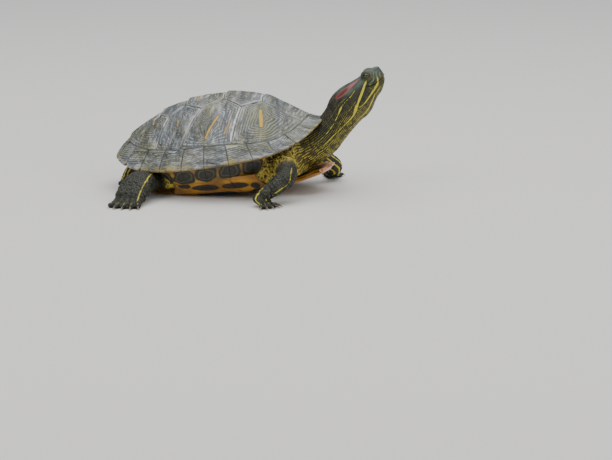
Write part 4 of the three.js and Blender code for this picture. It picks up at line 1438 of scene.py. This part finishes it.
def hideMaterial(name, bumpDepth):
    # reptile hide: near-black olive with fine yellow-green lines on the neck, grey-green on the crown,
    # mottled in the pockets and charcoal on the legs, all with the same stripes; slightly moist, IOR of skin
    material, tree, surface, field = newMaterial(
        name, "yellow", "red", "pale", "headForward", "headUp", "turnSin", "turnCos", "along", "lid",
        "opening", "shade", "tint", "wall", "leg", "rise"
    )
    place = addNode(tree, "TexCoord", {}, "Object")
    forward, side = field["headForward"], field["turnCos"]
    # patches about 9 mm across and grain of 1 mm
    patches = addNode(tree, "TexNoise", {"Vector": place, "Scale": 110, "Detail": 4, "Roughness": 0.6})
    grain = addNode(tree, "TexNoise", {"Vector": place, "Scale": 900, "Detail": 3, "Roughness": 0.6})
    # the neck's fine lines, wavering and broken
    turned = addNode(tree, "Math", {0: field["turnSin"], 1: side}, operation="ARCTAN2")
    bends = addNode(tree, "TexNoise", {"Vector": place, "Scale": 130, "Detail": 3})
    bent = addNode(tree, "Math", {0: turned, 1: neckLines / 2 / math.pi}, operation="MULTIPLY")
    bent = addNode(tree, "Math", {0: bends, 1: 1.7, 2: bent}, operation="MULTIPLY_ADD")
    wave = addNode(tree, "Math", {0: bent, 1: 0.5}, operation="PINGPONG")
    # towards the chest the lines crowd into a yellow net
    low = addNode(tree, "MapRange", {0: field["along"], 1: 52, 2: 22})
    front = addNode(tree, "MapRange", {0: side, 1: 0.75, 2: 0.1})
    low = addNode(tree, "Math", {0: low, 1: front}, operation="MULTIPLY")
    throat = addNode(tree, "MapRange", {0: side, 1: -0.1, 2: -0.9})
    throat = addNode(tree, "Math", {0: throat, 1: low}, operation="MAXIMUM")
    onLine = addNode(tree, "Math", {0: throat, 1: 0.12, 2: wave}, operation="MULTIPLY_ADD")
    onLine = addNode(tree, "MapRange", {0: onLine, 1: 0.33, 2: 0.43})
    breaks = addNode(tree, "TexNoise", {"Vector": place, "Scale": 240, "Detail": 2})
    broken = addNode(tree, "MapRange", {0: breaks, 1: 0.42, 2: 0.52, 3: 0.12, 4: 1.0})
    onLine = addNode(tree, "Math", {0: onLine, 1: broken}, operation="MULTIPLY")
    dark = addNode(tree, "ValToRGB", {0: grain}, stops=[(0.35, "#10120a"), (0.65, "#211f12")])
    dark = layered(tree, dark, [((throat, 0, 1, 0.7), "#4a4517")])
    lineTone = addNode(tree, "ValToRGB", {0: grain}, stops=[(0.3, "#514f14"), (0.7, "#7e7826")])
    lineTone = layered(tree, lineTone, [
        ((side, 0.1, -0.6, 1), "#aaa03a"),  # the throat
        (low, "#c2ac48"),
        ((side, 0.2, 0.9, 1), "#5a4f30"),  # the nape
    ])
    neck = layered(tree, dark, [(onLine, lineTone)])
    # crown and snout
    crown = addNode(tree, "ValToRGB", {0: patches}, stops=[(0.35, "#2f3833"), (0.65, "#535f51")])
    crownShare = addNode(tree, "MapRange", {0: forward, 1: -7.0, 2: 3.0})
    high = addNode(tree, "MapRange", {0: field["headUp"], 1: 5.5, 2: 9.5})
    crownShare = addNode(tree, "Math", {0: crownShare, 1: high}, operation="MULTIPLY")
    snout = addNode(tree, "MapRange", {0: forward, 1: 32.0, 2: 38.0, 4: 0.75})
    overMouth = addNode(tree, "MapRange", {0: field["headUp"], 1: 3.0, 2: 6.5})
    snout = addNode(tree, "Math", {0: snout, 1: overMouth}, operation="MULTIPLY")
    crownShare = addNode(tree, "Math", {0: crownShare, 1: snout}, operation="MAXIMUM")
    # lids: olive brown, darker at their edges
    lidTone = addNode(tree, "ValToRGB", {0: patches}, stops=[(0.4, "#36331f"), (0.6, "#5e5632")])
    # the pockets are mottled, with painted shade high up under the shell and behind the shoulder, and painted
    # light out in front of the shell
    spots = {"Vector": place, "Scale": 420, "Detail": 3, "Roughness": 0.55, "Distortion": 0.6}
    spots = addNode(tree, "TexNoise", spots)
    spots = addNode(tree, "Math", {0: field["shade"], 1: -0.1, 2: spots}, operation="MULTIPLY_ADD")
    mottled = addNode(
        tree, "ValToRGB", {0: spots}, stops=[(0.37, "#2a2512"), (0.44, "#8a7a2b"), (0.56, "#d6bf55")]
    )
    legTone = addNode(tree, "ValToRGB", {0: patches}, stops=[(0.35, "#10110a"), (0.65, "#212217")])
    legTone = layered(tree, legTone, [((field["tint"], 0, 1, 0.32), "#52533d")])
    stripeTone = addNode(tree, "ValToRGB", {0: grain}, stops=[(0.3, "#b5a92c"), (0.7, "#e0d142")])
    onRed = addNode(tree, "Math", {0: patches, 1: 2.4, 2: field["red"]}, operation="MULTIPLY_ADD")
    redTone = addNode(tree, "MapRange", {0: field["red"], 1: 0.0, 2: -2.2})
    redTone = addNode(
        tree, "ValToRGB", {0: redTone}, stops=[(0.2, "#9c4438"), (0.6, "#8c3324"), (1.0, "#54201a")]
    )
    # painted shade: darker low on each scale's sides, towards the skin between scales
    deep = addNode(tree, "MapRange", {0: field["rise"], 1: 0.0, 2: 1.0, 3: 0.35, 4: 0.0})
    colour = layered(tree, neck, [
        ((forward, -12, 22, 1), layered(tree, "#1d241c", [(0.4, neck)])),
        (crownShare, crown),
        ((field["lid"], 1.02, 0.82, 0.85), lidTone),
        ((field["opening"], 1.35, 1.1, 0.85), "#0f0f0a"),
        (field["wall"], mottled),
        (field["leg"], legTone),
        ((field["yellow"], 0.9, 0.25, 0.65), "#14170e"),  # the stripes' dark border
        ((field["yellow"], 0.12, -0.2, 0.95), stripeTone),
        ((field["pale"], 0.15, -0.25, 0.8), "#98a37a"),
        ((onRed, 1.6, -0.2, 0.92), layered(tree, redTone, [((forward, 8, 14, 0.85), "#a4605c")])),
        (deep, "#0e100a"),  # painted shade in the gaps between scales, darker than their faces
    ])
    cells = addNode(tree, "TexVoronoi", {"Vector": place, "Scale": 1400}, feature="DISTANCE_TO_EDGE")
    fill(tree, surface, {
        "Base Color": colour,
        "Roughness": 0.54,
        "IOR": 1.45,
        "Normal": addNode(tree, "Bump", {"Height": cells, "Strength": 0.45, "Distance": bumpDepth}),
    })
    return material


def eyeMaterial():
    # wet eye: yellow-green iris with a dark bar through the pupil, under a clear coat for the cornea
    material, tree, surface, field = newMaterial("WetEye", "eyeRun", "eyeRise")
    both = addNode(tree, "CombineXYZ", {0: field["eyeRun"], 1: field["eyeRise"]})
    centre = addNode(tree, "VectorMath", {0: both}, "Value", operation="LENGTH")
    rays = addNode(tree, "TexNoise", {"Vector": both, "Scale": 2.6, "Detail": 3})
    iris = addNode(tree, "ValToRGB", {0: rays}, stops=[(0.35, "#2b3f1b"), (0.6, "#5f7a34")])
    wide = addNode(tree, "Math", {0: field["eyeRise"]}, operation="ABSOLUTE")
    colour = layered(tree, iris, [
        ((centre, 2.3, 2.9, 1), "#15140d"),  # the rim of the iris
        ((wide, 0.62, 0.35, 0.92), "#0b0c08"),  # the bar
        ((centre, 1.12, 0.95, 1), "#020202"),  # the pupil
    ])
    fill(tree, surface, {
        "Base Color": colour,
        "Roughness": 0.25,
        "Coat Weight": 1.0,
        "Coat Roughness": 0.03,
        "Coat IOR": 1.38,  # cornea
    })
    return material


def buildEyes():
    gloss = eyeMaterial()
    for side, name in ((1, "eye_left"), (-1, "eye_right")):
        middle, run, rise, look = eyeFrame(side)
        bpy.ops.mesh.primitive_uv_sphere_add(segments=64, ring_count=40, radius=1)
        eye = bpy.context.active_object
        eye.name = eye.data.name = "eyeball_left" if side > 0 else "eyeball_right"
        ball = meshPoints(eye) * metre  # of radius 1
        cornea = 0.35 * smooth(0.82, 1.0, ball[:, 2])
        radius = pose["eyeRadius"] - 0.08 + cornea
        turned = ball[:, :1] * run + ball[:, 1:2] * rise + ball[:, 2:] * look
        movePoints(eye, fromHead(middle + turned * radius[:, None]))
        outward(eye)
        off = toHead(meshPoints(eye)) - middle
        setField(eye, "eyeRun", off @ run)
        setField(eye, "eyeRise", off @ rise)
        only(eye)
        bpy.ops.object.shade_smooth()
        show(eye, "eye_gloss", gloss, name)


def clawMaterial():
    # claw horn: brown-black at the root, paler and clearer at the tip
    material, tree, surface, field = newMaterial("ClawHorn", "tipShare")
    place = addNode(tree, "TexCoord", {}, "Object")
    streaked = addNode(tree, "TexNoise", {"Vector": place, "Scale": 600, "Detail": 3})
    share = addNode(tree, "Math", {0: streaked, 1: 0.35, 2: field["tipShare"]}, operation="MULTIPLY_ADD")
    colour = addNode(
        tree, "ValToRGB", {0: share}, stops=[(0.15, "#1f1b14"), (0.6, "#4a4130"), (1.0, "#94855c")]
    )
    fill(tree, surface, {"Base Color": colour, "Roughness": 0.32, "IOR": 1.54})
    return material


def buildClaws():
    horn = clawMaterial()
    for name, limb in limbs.items():
        if "toes" not in limb:
            continue
        pieces = []
        for nail in footStations(limb)[2]:
            path = pathOf(nail, 0.4)
            piece = limbTube("claw", path, sides=14, depth=0)
            share = nearestOf(meshPoints(piece), path["centre"])[0] / (len(path["centre"]) - 1)
            setField(piece, "tipShare", share)
            pieces.append(piece)
        claws = joined(pieces, "claws_" + name)
        points = meshPoints(claws)
        points[:, 2] = np.maximum(points[:, 2], 0.02)
        movePoints(claws, points)
        only(claws)
        bpy.ops.object.shade_smooth()
        show(claws, "leg_skin", horn)


def buildSkin():
    skin = buildFlesh()
    print("flesh joined:", len(skin.data.polygons), "faces")
    ball = np.array(pose["eyePlace"])
    refine(skin, lambda p: p[:, 0] > 7)
    refine(skin, lambda p: (np.linalg.norm(np.abs(p) - ball, axis=1) < 8) | (p[:, 0] > 37) |
           ((p[:, 0] > 26) & (np.abs(p[:, 2] - 2) < 2)))
    refine(skin, lambda p: np.linalg.norm(np.abs(p) - ball - [0, 1.5, 0.5], axis=1) < 4.6, 1)
    sculptHead(skin)
    foldSkin(skin)
    only(skin)
    bpy.ops.object.shade_smooth()
    tree = BVHTree.FromObject(skin, bpy.context.evaluated_depsgraph_get())
    stripes = findStripes(tree)
    level = np.ones(len(skin.data.vertices))
    setMarkings(skin, stripes, level, 0.3 * level)
    hide = hideMaterial("StripedHide", 0.00012)
    show(skin, "neck_skin", hide, "trunk", "neck", "head", "tail", "foreleg_left", "foreleg_right",
         "hindleg_left", "hindleg_right")
    print("skin made:", len(skin.data.polygons), "faces")
    return skin, stripes


coat = {
    "perSquareMm": 5,  # places tried
    "overlap": 1.44,  # width of a scale as a share of its spacing
    "neck": 1.15,  # spacing of the scales in mm
    "wall": 1.5,
    "leg": 1.5,
    "thigh": 1.9,
    "tail": 1.1,
    "plates": 2.5,  # in front of the forearm and behind the heel
    "foot": 0.95,
    "height": 0.17,  # of a scale, as a share of its spacing
    "patch": 0.003,  # width of each scale on the map
}


def oneScale():
    # one low six-sided scale, 1 across, lying along +X with its free end a little raised
    bpy.ops.mesh.primitive_cone_add(vertices=6, radius1=0.6, radius2=0.4, depth=2, end_fill_type="TRIFAN")
    tile = bpy.context.active_object
    bpy.ops.object.mode_set(mode="EDIT")
    bpy.ops.mesh.select_all(action="SELECT")
    bpy.ops.transform.resize(value=(1.18, 1.0, 1.0))
    bpy.ops.mesh.quads_convert_to_tris()
    bpy.ops.object.mode_set(mode="OBJECT")
    points = meshPoints(tile) * metre
    points[:, 2] += 0.35 * (np.hypot(points[:, 0], points[:, 1]) < 0.1) * (points[:, 2] > 0)
    points[:, 2] += 0.5 * points[:, 0] * (points[:, 2] > 0)
    faces = np.array([p.vertices[:] for p in tile.data.polygons])
    bpy.data.objects.remove(tile)
    return points, faces


def findRoots(skin):
    # where the scales stand: places tried all over the skin, thinned to the spacing of each part
    mesh = skin.data
    mesh.calc_loop_triangles()
    corners = np.zeros(len(mesh.loop_triangles) * 3, np.int32)
    loops = corners.copy()
    mesh.loop_triangles.foreach_get("vertices", corners)
    mesh.loop_triangles.foreach_get("loops", loops)
    corners, loops = corners.reshape(-1, 3), loops.reshape(-1, 3)
    spots = np.zeros(len(mesh.loops) * 2, np.float32)
    mesh.uv_layers.active.data.foreach_get("uv", spots)
    points, normals = meshPoints(skin), meshNormals(skin)
    a, b, c = points[corners].transpose(1, 0, 2)
    area = np.linalg.norm(np.cross(b - a, c - a), axis=1) / 2
    middle = (a + b + c) / 3
    inShell = toShell(middle)
    _, share = planInverse(inShell[:, 0], inShell[:, 1])
    shown = (toHead(middle)[:, 0] < 5) & (middle[:, 2] > 1.0) & ~((share < 0.72) & (inShell[:, 2] < 84))
    area = area * (shown | (toHead(middle)[:, 0] > -45) & (toHead(middle)[:, 0] < 5))
    random = np.random.default_rng(5)
    chosen = random.choice(len(area), int(area.sum() * coat["perSquareMm"]), p=area / area.sum())
    mix = random.dirichlet((1, 1, 1), len(chosen))[..., None]
    roots = {
        "point": (points[corners[chosen]] * mix).sum(1),
        "normal": unit((normals[corners[chosen]] * mix).sum(1)),
        "spot": (spots.reshape(-1, 2)[loops[chosen]] * mix).sum(1),
    }
    roots.update(placesOf(roots["point"]))
    leg = roots["owner"] > 0
    fore = (roots["owner"] == 1) | (roots["owner"] == 2)
    edge = np.abs(np.degrees(roots["angle"]) - np.where(fore, 90, -90)) < np.where(fore, 38, 30)
    plates = leg & edge & (roots["share"] > 0.45) & (roots["share"] < 0.97)
    spacing = np.where(leg, coat["leg"], coat["neck"])
    spacing = np.where((roots["owner"] == 3) | (roots["owner"] == 4), coat["thigh"], spacing)
    spacing = np.where(roots["owner"] == 5, coat["tail"], spacing)
    spacing = spacing + (coat["wall"] - spacing) * roots["wall"]
    spacing = np.where(plates, coat["plates"], spacing)
    spacing = np.where(leg & (roots["share"] >= 0.99), coat["foot"], spacing)
    spacing *= 1 - 0.3 * smooth(-12, 4, toHead(roots["point"])[:, 0]) * ~leg
    roots["spacing"] = spacing
    tree = KDTree(len(spacing))
    for k, point in enumerate(roots["point"]):
        tree.insert(point, k)
    tree.balance()
    free, kept = np.ones(len(spacing), bool), []
    for k in range(len(spacing)):
        if free[k]:
            kept.append(k)
            free[[i for _, i, _ in tree.find_range(roots["point"][k], spacing[k])]] = False
    roots = {key: values[kept] for key, values in roots.items()}
    roots["turned"] = random.normal(0, 10, len(kept))
    roots["grown"] = random.uniform(0.92, 1.12, len(kept))
    roots["tint"] = random.uniform(0, 1, len(kept))
    return roots


def scalePiece(name, roots, chosen, slot, material, stripes):
    tile, faces = oneScale()
    point, normal, way, spot = (roots[key][chosen] for key in ("point", "normal", "way", "spot"))
    along = unit(way - normal * (way * normal).sum(1)[:, None])
    angle = np.radians(roots["turned"][chosen])[:, None]
    along = along * np.cos(angle) + np.cross(normal, along) * np.sin(angle)
    across = np.cross(normal, along)
    size = (roots["spacing"] * roots["grown"])[chosen][:, None, None] * coat["overlap"]
    fade = 1 - 0.93 * smooth(-14, 4, toHead(point)[:, 0])
    high = (roots["spacing"][chosen] * coat["height"] * fade)[:, None, None]
    points = point[:, None] + size * (tile[:, :1] * along[:, None] + tile[:, 1:2] * across[:, None])
    points = points + high * tile[:, 2:] * normal[:, None]
    points[..., 2] = np.maximum(points[..., 2], 0.02)
    count = len(point)
    triangles = (faces[None] + np.arange(count)[:, None, None] * len(tile)).reshape(-1, 3)
    mesh = bpy.data.meshes.new(name)
    mesh.from_pydata((points.reshape(-1, 3) * metre).tolist(), [], triangles.tolist())
    piece = bpy.data.objects.new(name, mesh)
    bpy.context.collection.objects.link(piece)
    layer = mesh.uv_layers.new(name="OFBake")
    spots = spot[:, None] + tile[None, :, :2] * coat["patch"] / 1.3
    layer.data.foreach_set("uv", spots.reshape(-1, 2)[triangles.ravel()].astype(np.float32).ravel())
    top = np.tile((tile[:, 2] > 0).astype(float), count)
    setMarkings(piece, stripes, top, np.repeat(roots["tint"][chosen], len(tile)))
    only(piece)
    bpy.ops.object.shade_smooth()
    show(piece, slot, material)
    return len(triangles)


def buildCoat(skin, stripes):
    only(skin)
    bpy.ops.object.mode_set(mode="EDIT")
    bpy.ops.mesh.select_all(action="SELECT")
    bpy.ops.uv.smart_project(angle_limit=math.radians(66), island_margin=0.002)
    bpy.ops.object.mode_set(mode="OBJECT")
    roots = findRoots(skin)
    hide = hideMaterial("ScaledHide", 0.00006)
    wall = roots["wall"] > 0.5
    total = scalePiece("scales_pockets", roots, wall, "belly_skin", hide, stripes)
    total += scalePiece("scales_neck", roots, ~wall & (roots["owner"] == 0), "neck_skin", hide, stripes)
    for k, name in enumerate(list(routes)[1:], 1):
        total += scalePiece("scales_" + name, roots, ~wall & (roots["owner"] == k), "leg_skin", hide, stripes)
    print("scales made:", len(roots["point"]), "with", total, "triangles")


skin, stripes = buildSkin()
buildEyes()
buildClaws()
print("eyes and claws made")
buildCoat(skin, stripes)
